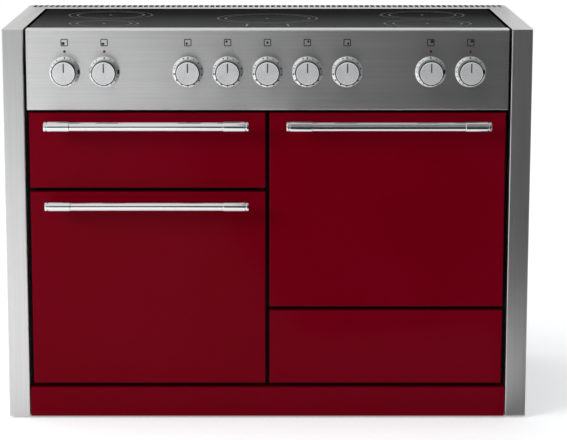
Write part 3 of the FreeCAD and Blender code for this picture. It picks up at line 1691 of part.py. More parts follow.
def door_hinges():
    """Fixed arms that reach from the front frame into each door, with the pivot pins."""
    arms = []
    for _, x_middle, bottom, _ in DOORS:
        for side in HINGE_SIDES:
            x_arm = f"({x_middle} {hinge_middle(side)})"
            y_pivot = "front_plane + pivot_depth"
            z_pivot = f"({bottom} + pivot_rise)"
            half = "hinge_thickness / 2"
            x_limits = (f"{x_arm} - {half}", f"{x_arm} + {half}")
            z_limits = (f"{z_pivot} - hinge_height / 2", f"{z_pivot} + hinge_height / 2")
            bar = block(
                "hinge_bar", x_limits, (f"{y_pivot} - hinge_height / 2", "frame_front"), z_limits
            )
            foot = block(
                "hinge_foot",
                (f"{x_arm} - hinge_foot_width / 2", f"{x_arm} + hinge_foot_width / 2"),
                ("frame_front - hinge_foot_thickness", "frame_front"),
                (f"{z_pivot} - hinge_height / 2",
                 f"{z_pivot} - hinge_height / 2 + hinge_foot_height"),
            )
            reach = "hinge_inset"
            x_pin = x_arm if side == "+" else f"{x_arm} - {reach}"
            pin = rod("hinge_pin", "x", "pin_diameter / 2", reach, (x_pin, y_pivot, z_pivot))
            arms.append(fuse("hinge_arm", [bar, foot, pin]))
    return publish(group("door_hinges", arms), "door_hinges")


# Drawer

def drawer_front():
    body = front_pan("drawer_front", "door_middle", "lower_bottom", "short_door_height")
    return publish(body, "drawer_front")


def drawer_box():
    """An open steel box with a sliding rail on each side."""
    y_limits = ("pan_back", "pan_back + drawer_depth")
    z_limits = ("drawer_bottom", "drawer_bottom + drawer_wall_height")
    x_low = "(door_middle - drawer_half)"
    x_high = "(door_middle + drawer_half)"
    skin = "drawer_sheet"
    whole = block("drawer_block", (x_low, x_high), y_limits, z_limits)
    rails = [
        block(
            "drawer_rail", x_limits,
            ("pan_back + rail_start", "pan_back + drawer_depth"),
            ("rail_bottom", "rail_bottom + rail_height"),
        )
        for x_limits in (
            (f"{x_low} - rail_reach", f"{x_low} + {skin}"),
            (f"{x_high} - {skin}", f"{x_high} + rail_reach"),
        )
    ]
    hollow = block(
        "drawer_hollow", (f"{x_low} + {skin}", f"{x_high} - {skin}"),
        (f"{y_limits[0]} + {skin}", f"{y_limits[1]} - {skin}"),
        (f"drawer_bottom + {skin}", f"{z_limits[1]} + cut_overrun"),
    )
    return publish(cut("drawer_box", fuse("drawer_whole", [whole] + rails), [hollow]), "drawer_box")


def drawer_guides():
    """A standing guide on each side of the drawer, with two ribs that hold its rail."""
    guides = []
    y_limits = ("frame_back + steel_sheet", "frame_back + guide_length")
    for side in (-1, 1):
        inner = f"door_middle + {side} * guide_inner"
        outer = f"{inner} + {side} * guide_sheet"
        tip = f"{inner} - {side} * guide_rib_reach"
        wall_limits = (outer, inner) if side < 0 else (inner, outer)
        rib_limits = (outer, tip) if side < 0 else (tip, outer)
        wall_top = "drawer_bottom + drawer_wall_height"
        wall = block("guide_wall", wall_limits, y_limits, ("tray_floor", wall_top))
        lower = block(
            "guide_rib", rib_limits, y_limits,
            ("rail_bottom - soft_clearance - guide_rib", "rail_bottom - soft_clearance"),
        )
        rail_top = "rail_bottom + rail_height + soft_clearance"
        upper = block("guide_rib", rib_limits, y_limits, (rail_top, f"{rail_top} + guide_rib"))
        guides.append(fuse("guide", [wall, lower, upper]))
    return publish(group("drawer_guides", guides), "drawer_guides")


# Feet, rollers and cable inlet

def levelling_feet():
    """A screwed foot at each front corner."""
    feet = []
    for side in ("-", ""):
        body = new_body(
            "foot", x=f"{side}(range_width / 2 - foot_inset)", y="front_plane + foot_front"
        )
        profile = [
            ("0", "0"),
            ("foot_diameter / 2", "0"),
            ("foot_diameter / 2", "foot_height"),
            ("foot_nut_size / 2", "foot_height"),
            ("foot_nut_size / 2", "floor_clearance_height"),
            ("foot_stem_diameter / 2", "floor_clearance_height"),
            ("foot_stem_diameter / 2", "foot_stem_length"),
            ("0", "foot_stem_length"),
        ]
        revolve(body, outline(new_sketch(body, "XZ_Plane"), profile))
        feet.append(body)
    return publish(group("levelling_feet", feet), "levelling_feet")


def roller(node, x_middle):
    """A rear wheel that turns on the axle under the base."""
    body = new_body(
        node, x=x_middle, y="rear_plane - roller_rear", z="roller_diameter / 2", turn=TURNS["x"]
    )
    half = "roller_width / 2"
    outer = "roller_diameter / 2"
    bore = "axle_diameter / 2 + axle_clearance"
    profile = [
        (bore, f"-{half}"),
        (f"{outer} - roller_edge", f"-{half}"),
        (outer, f"-{half} + roller_edge"),
        (outer, f"{half} - roller_edge"),
        (f"{outer} - roller_edge", half),
        (bore, half),
    ]
    revolve(body, outline(new_sketch(body, "XZ_Plane"), profile))
    return publish(body, node)


def terminal_box():
    """The mains connection box behind the rear panel, with the cable gland through it."""
    x_middle = "(range_width / 2 - inlet_inset)"
    case = block(
        "terminal_case",
        (f"{x_middle} - inlet_box_width / 2", f"{x_middle} + inlet_box_width / 2"),
        ("front_plane + side_depth - inlet_box_depth", "front_plane + side_depth"),
        ("inlet_rise - inlet_box_height / 2", "inlet_rise + inlet_box_height / 2"),
    )
    gland = rod(
        "gland", "y", "gland_diameter / 2", "carcass_depth - side_depth + rear_sheet",
        (x_middle, "front_plane + side_depth - rear_sheet", "inlet_rise"),
    )
    bore = rod(
        "gland_bore", "y", "gland_bore_diameter / 2", "gland_bore_depth + cut_overrun",
        (x_middle, "rear_plane - gland_bore_depth", "inlet_rise"),
    )
    return publish(cut("terminal_box", fuse("terminal_whole", [case, gland]), [bore]), "terminal_box")


def build():
    side_panel("side_panel_left", "-range_width / 2", "steel_sheet", "side_width - steel_sheet")
    side_panel("side_panel_right", "rail_inner", "0", "0")
    base_tray()
    rear_panel()
    front_frame()
    plinth_panel()
    control_fascia()
    knob_bezels()
    switch_blocks()
    indicator_lamps()
    for name, x in knob_places():
        knob(name, x)
    hob_glass()
    hob_seal()
    hob_tray()
    coil_carrier()
    induction_coils()
    power_boards()
    vent_rail()
    for name, x_middle, floor in OVENS:
        oven_cavity(f"oven_cavity_{name}", x_middle, floor.split(" + ")[0])
        oven_fan(f"oven_fan_{name}", x_middle, floor)
    grill_cavity()
    door_gaskets()
    grill_element()
    ring_elements()
    fan_covers()
    fan_motors()
    blower_housing()
    blower_rotor()
    oven_lamps()
    shelf_ladders()
    oven_shelves()
    grill_pan()
    grill_rack()
    for node, x_middle, bottom, height in DOORS:
        door_panel(node, x_middle, bottom, height)
        door_liner(node, x_middle, bottom, height)
        door_handle(node, x_middle, bottom, height)
    door_hinges()
    drawer_front()
    drawer_box()
    drawer_guides()
    levelling_feet()
    for name, sign in (("left", "-"), ("right", "")):
        roller(f"roller_{name}", f"{sign}(range_width / 2 - foot_inset)")
    terminal_box()


build()
doc.recompute()

for item in doc.Objects:
    if {"Invalid", "Error"} & set(item.State):
        raise RuntimeError(f"{item.Label} failed: {item.State}")
for piece in nodes:
    if piece.Shape.isNull() or not piece.Shape.isValid():
        raise RuntimeError(f"{piece.Label} has no valid shape")

os.makedirs("parts", exist_ok=True)
for piece in nodes:
    piece.Shape.exportStep(f"parts/{piece.Label}.step")
print(len(nodes), "nodes written")
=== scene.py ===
import math

import bmesh
import bpy
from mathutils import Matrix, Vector


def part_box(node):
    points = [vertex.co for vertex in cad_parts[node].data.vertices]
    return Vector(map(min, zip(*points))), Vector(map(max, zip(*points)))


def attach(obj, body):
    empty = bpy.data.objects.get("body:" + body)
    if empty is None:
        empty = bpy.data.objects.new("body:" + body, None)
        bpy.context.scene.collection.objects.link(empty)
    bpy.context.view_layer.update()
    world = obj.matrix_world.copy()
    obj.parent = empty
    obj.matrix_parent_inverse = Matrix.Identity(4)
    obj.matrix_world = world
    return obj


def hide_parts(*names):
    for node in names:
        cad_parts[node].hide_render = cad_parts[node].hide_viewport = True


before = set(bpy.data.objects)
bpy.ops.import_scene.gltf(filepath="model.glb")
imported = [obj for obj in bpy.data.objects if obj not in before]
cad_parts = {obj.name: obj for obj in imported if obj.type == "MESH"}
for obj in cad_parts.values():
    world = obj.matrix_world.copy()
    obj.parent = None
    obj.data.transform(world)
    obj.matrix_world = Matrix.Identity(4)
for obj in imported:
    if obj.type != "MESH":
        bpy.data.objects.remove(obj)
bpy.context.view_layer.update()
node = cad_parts

# The camera stands where the photographer did: nearly 4.9 m in front of the fascia and half a
# metre above the hob, looking down on the range, which sits a little left of the middle.
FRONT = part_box("control_fascia")[0].y
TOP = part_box("vent_rail")[1].z
CAMERA_DISTANCE = 4.861
CAMERA_RISE = 0.494
LOOK_DOWN = 10.1
LENS = 137.15
SHIFT_RIGHT = 16 / 567
SHIFT_UP = -0.05
scene = bpy.context.scene
camera_data = bpy.data.cameras.new("camera")
camera = bpy.data.objects.new("camera", camera_data)
scene.collection.objects.link(camera)
bpy.context.scene.camera = camera
camera.location = (0, FRONT - CAMERA_DISTANCE, TOP + CAMERA_RISE)
camera.rotation_euler = (math.radians(90 - LOOK_DOWN), 0, 0)
camera_data.sensor_width = 36
camera_data.lens = LENS
camera_data.shift_x = SHIFT_RIGHT
camera_data.shift_y = SHIFT_UP
camera_data.clip_end = 100

# The studio floor is a pale painted floor that runs out of the picture on every side. To the
# camera it glows up to white, as an overlit studio floor does, and it keeps the range's shadow.
scene.view_settings.view_transform = "Standard"


def new_finish(name):
    """An empty material, with its shader and the place on the piece that patterns start from."""
    material = bpy.data.materials.new(name)
    material.use_nodes = True
    tree = material.node_tree
    shader = tree.nodes["Principled BSDF"]
    place = tree.nodes.new("ShaderNodeTexCoord").outputs["Object"]
    return material, tree, shader, place


def stretched_noise(tree, place, stretch, detail=3.0):
    """Noise whose grains are 1 over stretch long on each axis, in metres."""
    spread = tree.nodes.new("ShaderNodeMapping")
    spread.inputs["Scale"].default_value = stretch
    tree.links.new(place, spread.inputs["Vector"])
    noise = tree.nodes.new("ShaderNodeTexNoise")
    noise.inputs["Scale"].default_value = 1.0
    noise.inputs["Detail"].default_value = detail
    tree.links.new(spread.outputs["Vector"], noise.inputs["Vector"])
    return noise.outputs["Fac"]


def spread_over(tree, factor, low, high, start=0.3, end=0.7):
    """A pattern or a level turned into numbers from low to high."""
    to_range = tree.nodes.new("ShaderNodeMapRange")
    for socket, number in zip(("From Min", "From Max", "To Min", "To Max"), (start, end, low, high)):
        to_range.inputs[socket].default_value = number
    tree.links.new(factor, to_range.inputs["Value"])
    return to_range.outputs["Result"]


def tinted(tree, factor, *stops):
    """Colours along a factor, each given as (place, red, green, blue)."""
    ramp = tree.nodes.new("ShaderNodeValToRGB")
    elements = ramp.color_ramp.elements
    while len(elements) < len(stops):
        elements.new(0.5)
    for element, (place, *colour) in zip(elements, stops):
        element.position = place
        element.color = (*colour, 1)
    tree.links.new(factor, ramp.inputs["Fac"])
    return ramp.outputs["Color"]


def worked_out(tree, operation, *values):
    """One step of arithmetic on sockets and plain numbers."""
    step = tree.nodes.new("ShaderNodeMath")
    step.operation = operation
    for socket, value in zip(step.inputs, values):
        if isinstance(value, float):
            socket.default_value = value
        else:
            tree.links.new(value, socket)
    return step.outputs["Value"]


def seen_by_eye(tree, paths):
    """1 for what the camera sees straight, in a mirror or through glass, and 0 for other light."""
    seen = worked_out(tree, "MAXIMUM", paths.outputs["Is Camera Ray"], paths.outputs["Is Glossy Ray"])
    return worked_out(tree, "MAXIMUM", seen, paths.outputs["Is Transmission Ray"])


def sheet_object(name, corners, material):
    """A flat four-cornered sheet."""
    mesh = bpy.data.meshes.new(name)
    mesh.from_pydata(corners, [], [(0, 1, 2, 3)])
    piece = bpy.data.objects.new(name, mesh)
    scene.collection.objects.link(piece)
    mesh.materials.append(material)
    return piece


FLOOR_REACH = 60.0
GLOW_NEAR, GLOW_FAR = 0.36, 0.6
GLOW_START, GLOW_END = 0.9, 2.4
MIRRORED_LOSS = 0.6
floor_paint, tree, shader, place = new_finish("floor_paint")
mottling = stretched_noise(tree, place, (0.8, 0.8, 0.8))
tree.links.new(tinted(tree, mottling, (0.3, 0.8, 0.8, 0.8), (0.7, 0.83, 0.83, 0.83)),
               shader.inputs["Base Color"])
shader.inputs["Roughness"].default_value = 0.9
shader.inputs["Specular IOR Level"].default_value = 0.1
glow = tree.nodes.new("ShaderNodeEmission")
from_range = tree.nodes.new("ShaderNodeVectorMath")
from_range.operation = "LENGTH"
tree.links.new(place, from_range.inputs[0])
paths = tree.nodes.new("ShaderNodeLightPath")
strength = spread_over(tree, from_range.outputs["Value"], GLOW_NEAR, GLOW_FAR, GLOW_START, GLOW_END)
mirrored = worked_out(tree, "MULTIPLY_ADD", paths.outputs["Is Glossy Ray"], -MIRRORED_LOSS, 1.0)
tree.links.new(worked_out(tree, "MULTIPLY", strength, mirrored), glow.inputs["Strength"])
lit = tree.nodes.new("ShaderNodeAddShader")
tree.links.new(shader.outputs["BSDF"], lit.inputs[0])
tree.links.new(glow.outputs["Emission"], lit.inputs[1])
choice = tree.nodes.new("ShaderNodeMixShader")
tree.links.new(seen_by_eye(tree, paths), choice.inputs["Fac"])
tree.links.new(shader.outputs["BSDF"], choice.inputs[1])
tree.links.new(lit.outputs["Shader"], choice.inputs[2])
tree.links.new(choice.outputs["Shader"], tree.nodes["Material Output"].inputs["Surface"])
floor = sheet_object(
    "floor",
    [(-FLOOR_REACH, -FLOOR_REACH, 0), (FLOOR_REACH, -FLOOR_REACH, 0),
     (FLOOR_REACH, FLOOR_REACH, 0), (-FLOOR_REACH, FLOOR_REACH, 0)],
    floor_paint,
)

# The studio itself: a white room behind everything, one large soft lamp high on the left, a
# weaker one on the right and one overhead. The room lights the range at a plain level.
world = bpy.data.worlds.new("studio")
scene.world = world
world.use_nodes = True
tree = world.node_tree
room = tree.nodes["Background"]
room.inputs["Color"].default_value = (0.94, 0.97, 1.0, 1)
room.inputs["Strength"].default_value = 0.5
backdrop = tree.nodes.new("ShaderNodeBackground")
backdrop.inputs["Strength"].default_value = 1.0
paths = tree.nodes.new("ShaderNodeLightPath")
choice = tree.nodes.new("ShaderNodeMixShader")
tree.links.new(seen_by_eye(tree, paths), choice.inputs["Fac"])
tree.links.new(room.outputs["Background"], choice.inputs[1])
tree.links.new(backdrop.outputs["Background"], choice.inputs[2])
tree.links.new(choice.outputs["Shader"], tree.nodes["World Output"].inputs["Surface"])


def soft_lamp(name, at, towards, width, height, power):
    """A large rectangular lamp behind diffusing cloth."""
    data = bpy.data.lights.new(name, "AREA")
    data.shape = "RECTANGLE"
    data.size, data.size_y = width, height
    data.energy = power
    lamp = bpy.data.objects.new(name, data)
    scene.collection.objects.link(lamp)
    lamp.location = at
    lamp.rotation_euler = (Vector(towards) - Vector(at)).to_track_quat("-Z", "Y").to_euler()
    lamp.visible_camera = False
    lamp.visible_glossy = False


soft_lamp("key_lamp", (-3.8, -3.2, 2.4), (0, 0, 0.4), 2.2, 1.8, 140)
soft_lamp("fill_lamp", (3.4, -3.8, 1.9), (0, 0, 0.5), 1.6, 1.6, 14)
soft_lamp("top_lamp", (-0.4, 0.1, 3.4), (0, 0, 0.9), 2.6, 1.8, 55)

# Studio cards keep the white room out of what the steel and glass mirror: a dim one and a black
# one behind the camera, a black band at eye level, a black and a grey cloth on the floor, a grey
# roof over the right, and a low black card behind the range with a grey cloth above it.


def card_cloth(name, dark, light, low=0.0, high=1.0):
    """Studio cloth that is darker below one level than above another."""
    cloth, tree, shader, place = new_finish(name)
    split = tree.nodes.new("ShaderNodeSeparateXYZ")
    tree.links.new(place, split.inputs["Vector"])
    level = spread_over(tree, split.outputs["Z"], 0.0, 1.0, low, high)
    tree.links.new(tinted(tree, level, (0.0, dark, dark, dark), (1.0, light, light, light)),
                   shader.inputs["Base Color"])
    shader.inputs["Roughness"].default_value = 0.95
    shader.inputs["Specular IOR Level"].default_value = 0.0
    return cloth


black_cloth = card_cloth("black_cloth", 0.012, 0.02)
dim_cloth = card_cloth("dim_cloth", 0.7, 0.74)
grey_cloth = card_cloth("grey_cloth", 0.035, 0.16, 1.118, 1.18)
roof_cloth = card_cloth("roof_cloth", 0.25, 0.3)
CARDS = {
    "middle_card": (dim_cloth, [(-0.5, -5.6, 0), (1.1, -5.02, 0), (1.1, -5.02, 3.4), (-0.5, -5.6, 3.4)]),
    "right_card": (black_cloth, [(1.1, -5.02, 0), (5.5, -3.4, 0), (5.5, -3.4, 3.4), (1.1, -5.02, 3.4)]),
    "level_band": (black_cloth,
                   [(-1.15, -5.62, 0.3), (1.1, -4.97, 0.3), (1.1, -4.97, 2.6), (-1.15, -5.62, 2.6)]),
    "right_cloth": (black_cloth,
                    [(-0.6, -5.6, 0.01), (5.5, -3.4, 0.01), (5.5, -2.6, 0.01), (0.1, -1.0, 0.01)]),
    "rail_cloth": (roof_cloth,
                   [(0.63, -1.2, 0.004), (1.1, -1.3, 0.004), (1.1, -0.28, 0.004), (0.54, -0.28, 0.004)]),
    "right_roof": (roof_cloth, [(-0.1, -5.7, 3.4), (5.5, -3.4, 3.4), (5.5, -0.8, 3.4), (-0.1, -0.8, 3.4)]),
    "rear_card": (black_cloth,
                  [(-0.84, 2.3, 0.7), (0.84, 2.3, 0.7), (0.84, 2.3, 1.116), (-0.84, 2.3, 1.116)]),
    "rear_cloth": (grey_cloth,
                   [(-0.84, 2.3, 1.116), (0.84, 2.3, 1.116), (0.84, 2.3, 1.24), (-0.84, 2.3, 1.24)]),
}
for name, (cloth, corners) in CARDS.items():
    card = sheet_object(name, corners, cloth)
    card.visible_camera = False
    card.visible_diffuse = False
    card.visible_shadow = False

# The casing's floor and back, the hob tray, hinges, guides, blower housing and fan motors are
# folded zinc-coated steel sheet, spot welded and screwed together. The zinc shows pale crystals.


def raised(tree, shader, height, strength, distance):
    """Turn a pattern into relief."""
    bump = tree.nodes.new("ShaderNodeBump")
    bump.inputs["Strength"].default_value = strength
    bump.inputs["Distance"].default_value = distance
    tree.links.new(height, bump.inputs["Height"])
    tree.links.new(bump.outputs["Normal"], shader.inputs["Normal"])


zinc_sheet, tree, shader, place = new_finish("zinc_sheet")
crystals = tree.nodes.new("ShaderNodeTexVoronoi")
crystals.inputs["Scale"].default_value = 90
crystals.inputs["Randomness"].default_value = 1.0
tree.links.new(place, crystals.inputs["Vector"])
tree.links.new(
    tinted(tree, crystals.outputs["Color"], (0.1, 0.36, 0.37, 0.38), (0.9, 0.56, 0.57, 0.58)),
    shader.inputs["Base Color"],
)
shader.inputs["Metallic"].default_value = 0.85
tree.links.new(spread_over(tree, stretched_noise(tree, place, (60, 60, 60)), 0.32, 0.5),
               shader.inputs["Roughness"])
raised(tree, shader, crystals.outputs["Distance"], 0.08, 0.0003)


def finished(finish, *names):
    """Give CAD nodes their finish."""
    for name in names:
        slots = node[name].material_slots
        if not slots:
            node[name].data.materials.append(finish)
        for slot in slots:
            slot.material = finish


finished(zinc_sheet, "base_tray", "rear_panel", "hob_tray", "door_hinges", "drawer_guides", "blower_housing",
         "fan_motors")

# The front frame is one sheet of steel with an opening for each oven, the grill and the drawer.
# It is fired matt black, and its near-black colour is painted shade too, so the gaps between the doors look
# dark.
black_enamel, tree, shader, place = new_finish("black_enamel")
peel = stretched_noise(tree, place, (140, 140, 140))
tree.links.new(tinted(tree, peel, (0.3, 0.004, 0.004, 0.004), (0.7, 0.008, 0.008, 0.008)),
               shader.inputs["Base Color"])
tree.links.new(spread_over(tree, peel, 0.5, 0.65), shader.inputs["Roughness"])
shader.inputs["Specular IOR Level"].default_value = 0.25
raised(tree, shader, peel, 0.1, 0.0004)
finished(black_enamel, "front_frame")

# The feet, rollers, terminal box and switches are black moulded nylon with a fine sandy skin.
# The feet screw into the casing's floor, and the rollers turn on steel axles.
black_nylon, tree, shader, place = new_finish("black_nylon")
grain = stretched_noise(tree, place, (1400, 1400, 1400), 2.0)
tree.links.new(tinted(tree, grain, (0.3, 0.018, 0.018, 0.019), (0.7, 0.034, 0.034, 0.035)),
               shader.inputs["Base Color"])
tree.links.new(spread_over(tree, grain, 0.45, 0.62), shader.inputs["Roughness"])
raised(tree, shader, grain, 0.2, 0.0002)
finished(black_nylon, "levelling_feet", "roller_left", "roller_right", "terminal_box", "switch_blocks")

# The side panels are stainless sheet folded round the front edge and over the top, brushed up
# and down. The inner fold is rounded. They screw to the casing's floor and back.


def brushed(name, along, tone, low, high, lined):
    """Stainless steel with fine brush lines along one axis."""
    steel, tree, shader, place = new_finish(name)
    fine = stretched_noise(tree, place, [8 if axis == along else 1500 for axis in "xyz"], 2.0)
    broad = stretched_noise(tree, place, [2.5 if axis == along else 300 for axis in "xyz"], 4.0)
    dark, light = (tuple(channel * share for channel in tone) for share in (0.96, 1.04))
    tree.links.new(tinted(tree, broad, (0.3, *dark), (0.7, *light)), shader.inputs["Base Color"])
    shader.inputs["Metallic"].default_value = 1.0
    tree.links.new(spread_over(tree, broad, low, high), shader.inputs["Roughness"])
    raised(tree, shader, fine, 0.25, 0.0002)
    shader.inputs["Anisotropic"].default_value = lined
    shader.inputs["Anisotropic Rotation"].default_value = 0.0 if along == "z" else 0.25
    return steel


def shell(name, mesh, finish, body="range_body", sharp=35):
    """A piece made of one mesh, smooth except along its corners, that rides on a body."""
    mesh.materials.append(finish)
    mesh.shade_smooth()
    mesh.set_sharp_from_angle(angle=math.radians(sharp))
    piece = bpy.data.objects.new(name, mesh)
    scene.collection.objects.link(piece)
    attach(piece, body)
    return piece


upright_steel = brushed("upright_steel", "z", (0.72, 0.715, 0.71), 0.33, 0.36, 0.2)
finished(upright_steel, "side_panel_left", "side_panel_right")
BEND = 0.0026
for side in ("left", "right"):
    panel = bmesh.new()
    panel.from_mesh(node[f"side_panel_{side}"].data)
    bmesh.ops.remove_doubles(panel, verts=panel.verts, dist=1e-6)
    low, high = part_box(f"side_panel_{side}")
    inner = high.x if side == "left" else low.x
    bend_line = [edge for edge in panel.edges
                 if all(abs(corner.co.x - inner) < 1e-5 and abs(corner.co.y - FRONT) < 1e-5
                        for corner in edge.verts) and edge.calc_face_angle(0) > 0.5]
    bmesh.ops.bevel(panel, geom=bend_line, offset=BEND, segments=5, profile=0.5, affect="EDGES")
    mesh = bpy.data.meshes.new(f"side_{side}")
    panel.to_mesh(mesh)
    panel.free()
    side_piece = shell(f"side_{side}", mesh, upright_steel, sharp=30)
    flats = side_piece.modifiers.new("flats", "WEIGHTED_NORMAL")
    flats.keep_sharp = True
    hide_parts(f"side_panel_{side}")

# The ovens and the grill are pressed steel boxes fired with dark enamel, which is glossy and
# sown with fine pale specks. The door liners, grill pan and fan covers have the same coat.
dark_enamel, tree, shader, place = new_finish("dark_enamel")
specks = tree.nodes.new("ShaderNodeTexVoronoi")
specks.inputs["Scale"].default_value = 420
tree.links.new(place, specks.inputs["Vector"])
tree.links.new(
    tinted(tree, specks.outputs["Distance"], (0.0, 0.32, 0.33, 0.35), (0.16, 0.012, 0.012, 0.016)),
    shader.inputs["Base Color"],
)
tree.links.new(spread_over(tree, stretched_noise(tree, place, (35, 35, 35)), 0.14, 0.26),
               shader.inputs["Roughness"])
raised(tree, shader, stretched_noise(tree, place, (160, 160, 160)), 0.12, 0.0006)
finished(dark_enamel, "oven_cavity_left", "oven_cavity_right", "grill_cavity", "grill_door_liner",
         "left_door_liner", "right_door_liner", "grill_pan", "fan_covers")

# The gaskets are cord woven from glass fibre, darkened by use. They clip into the front frame
# round each opening, and the closed door presses on them.
woven_cord, tree, shader, place = new_finish("woven_cord")
weave = tree.nodes.new("ShaderNodeTexWave")
weave.inputs["Scale"].default_value = 260
weave.inputs["Distortion"].default_value = 1.5
weave.bands_direction = "DIAGONAL"
tree.links.new(place, weave.inputs["Vector"])
tree.links.new(tinted(tree, weave.outputs["Fac"], (0.1, 0.05, 0.05, 0.05), (0.9, 0.16, 0.155, 0.15)),
               shader.inputs["Base Color"])
shader.inputs["Roughness"].default_value = 0.9
raised(tree, shader, weave.outputs["Fac"], 0.6, 0.0008)
finished(woven_cord, "door_gaskets")

# The elements are steel tubes with a heating wire inside, bent to shape and darkened by heat.
# They pass through the muffles' walls, one round each fan and one under the grill's roof.
scaled_tube, tree, shader, place = new_finish("scaled_tube")
heat = stretched_noise(tree, place, (30, 30, 30), 5.0)
tree.links.new(tinted(tree, heat, (0.3, 0.05, 0.045, 0.042), (0.7, 0.15, 0.12, 0.105)),
               shader.inputs["Base Color"])
shader.inputs["Metallic"].default_value = 0.8
tree.links.new(spread_over(tree, heat, 0.45, 0.65), shader.inputs["Roughness"])
raised(tree, shader, heat, 0.15, 0.0004)
finished(scaled_tube, "grill_element", "ring_elements")

# The oven fans, the blower wheel and the plate under the coils are plain rolled aluminium. The
# blades are pressed out and bent, and the wheels sit on the motors' shafts.
rolled_aluminium, tree, shader, place = new_finish("rolled_aluminium")
rolling = stretched_noise(tree, place, (700, 12, 700))
tree.links.new(tinted(tree, rolling, (0.3, 0.62, 0.62, 0.63), (0.7, 0.76, 0.76, 0.77)),
               shader.inputs["Base Color"])
shader.inputs["Metallic"].default_value = 1.0
tree.links.new(spread_over(tree, rolling, 0.3, 0.44), shader.inputs["Roughness"])
raised(tree, shader, rolling, 0.1, 0.0002)
finished(rolled_aluminium, "coil_carrier", "oven_fan_left", "oven_fan_right", "blower_rotor")

# The oven lamp lenses are pressed clear glass, a little rippled. They screw into the oven
# roofs, over the lamps.
lamp_lens, tree, shader, place = new_finish("lamp_lens")
ripple = stretched_noise(tree, place, (90, 90, 90))
tree.links.new(tinted(tree, ripple, (0.3, 0.86, 0.86, 0.84), (0.7, 0.95, 0.95, 0.93)),
               shader.inputs["Base Color"])
shader.inputs["Transmission Weight"].default_value = 0.85
shader.inputs["IOR"].default_value = 1.5
shader.inputs["Roughness"].default_value = 0.12
raised(tree, shader, ripple, 0.15, 0.0008)
finished(lamp_lens, "oven_lamps")

# The shelf ladders, shelves and grill rack are bent and welded steel wire, polished and chromium
# plated. The door handles have the same coat.
polished_chrome, tree, shader, place = new_finish("polished_chrome")
wipes = stretched_noise(tree, place, (6, 40, 40), 4.0)
tree.links.new(tinted(tree, wipes, (0.3, 0.8, 0.81, 0.82), (0.7, 0.86, 0.865, 0.87)),
               shader.inputs["Base Color"])
shader.inputs["Metallic"].default_value = 1.0
tree.links.new(spread_over(tree, wipes, 0.05, 0.11), shader.inputs["Roughness"])
finished(polished_chrome, "shelf_ladders", "oven_shelves", "grill_rack", "grill_door_handle",
         "left_door_handle", "right_door_handle")

# The door fronts, drawer front and plinth are pressed steel pans with rolled edges, fired with
# glossy dark red enamel. The doors hang on pins at their feet.
red_enamel, tree, shader, place = new_finish("red_enamel")
drift = stretched_noise(tree, place, (3, 3, 3))
tree.links.new(tinted(tree, drift, (0.3, 0.14, 0.0, 0.005), (0.7, 0.15, 0.0, 0.007)),
               shader.inputs["Base Color"])
tree.links.new(spread_over(tree, drift, 0.1, 0.16), shader.inputs["Roughness"])
shader.inputs["Specular IOR Level"].default_value = 0.03
raised(tree, shader, stretched_noise(tree, place, (120, 120, 120)), 0.03, 0.0004)
finished(red_enamel, "grill_door_panel", "left_door_panel", "right_door_panel", "drawer_front",
         "plinth_panel")

# Each door handle is a chromed bar held between two turned end fittings, which have a groove
# and a button at the tip. They stand off the door on two posts, screwed on from inside.


def made_mesh(name, form):
    """Turn the faces outwards and keep the form as a mesh."""
    bmesh.ops.recalc_face_normals(form, faces=form.faces)
    mesh = bpy.data.meshes.new(name)
    form.to_mesh(mesh)
    form.free()
    return mesh


def lathe_turned(name, profile, centre, axis, steps=72):
    """A closed mesh turned round an axis from (distance along it, radius) points."""
    form = bmesh.new()
    across, up = [unit for unit in (Vector((1, 0, 0)), Vector((0, 0, 1)), Vector((0, 1, 0)))
                  if abs(unit.dot(axis)) < 0.5]
    rows = []
    for along, radius in profile:
        middle = Vector(centre) + Vector(axis) * along
        if radius == 0:
            rows.append([form.verts.new(middle)])
            continue
        turns = [math.tau * step / steps for step in range(steps)]
        rows.append([form.verts.new(middle + radius * (math.cos(turn) * across + math.sin(turn) * up))
                     for turn in turns])
    for low, high in zip(rows, rows[1:]):
        for step in range(steps):
            after = (step + 1) % steps
            if len(low) == 1:
                form.faces.new((low[0], high[step], high[after]))
            elif len(high) == 1:
                form.faces.new((low[step], low[after], high[0]))
            else:
                form.faces.new((low[step], low[after], high[after], high[step]))
    if len(rows[0]) > 1 and len(rows[-1]) > 1:
        for step in range(steps):
            after = (step + 1) % steps
            form.faces.new((rows[-1][step], rows[-1][after], rows[0][after], rows[0][step]))
    return made_mesh(name, form)


HANDLE_REACH = 0.05
BAR_RADIUS = 0.0109
FERRULE_RADIUS = 0.0121
BAR_HALF = 0.173
HANDLE_HALF = 0.231
POST_OFFSET = 0.204
POST_RADIUS = 0.0052
POST_LENGTH = 0.046
BAR_PROFILE = [(-BAR_HALF, 0.0), (-BAR_HALF, BAR_RADIUS), (BAR_HALF, BAR_RADIUS), (BAR_HALF, 0.0)]
FERRULE_PROFILE = [
    (BAR_HALF - 0.0004, 0.0), (BAR_HALF - 0.0004, BAR_RADIUS), (BAR_HALF, 0.0117),
    (0.1735, 0.012), (0.1742, FERRULE_RADIUS), (0.1745, FERRULE_RADIUS), (0.1748, FERRULE_RADIUS),
    (0.2216, FERRULE_RADIUS), (0.2219, FERRULE_RADIUS), (0.2222, FERRULE_RADIUS),
    (0.2227, 0.0119), (0.223, 0.0114), (0.223, 0.0101), (0.225, 0.0101), (0.225, 0.0112),
    (0.2254, 0.0115), (0.2262, 0.0116), (0.2292, 0.0116), (0.2303, 0.0112), (0.2308, 0.0105),
    (HANDLE_HALF, 0.0092), (HANDLE_HALF, 0.0),
]
POST_PROFILE = [(0.0, 0.0), (0.0, POST_RADIUS), (POST_LENGTH, POST_RADIUS), (POST_LENGTH, 0.0)]
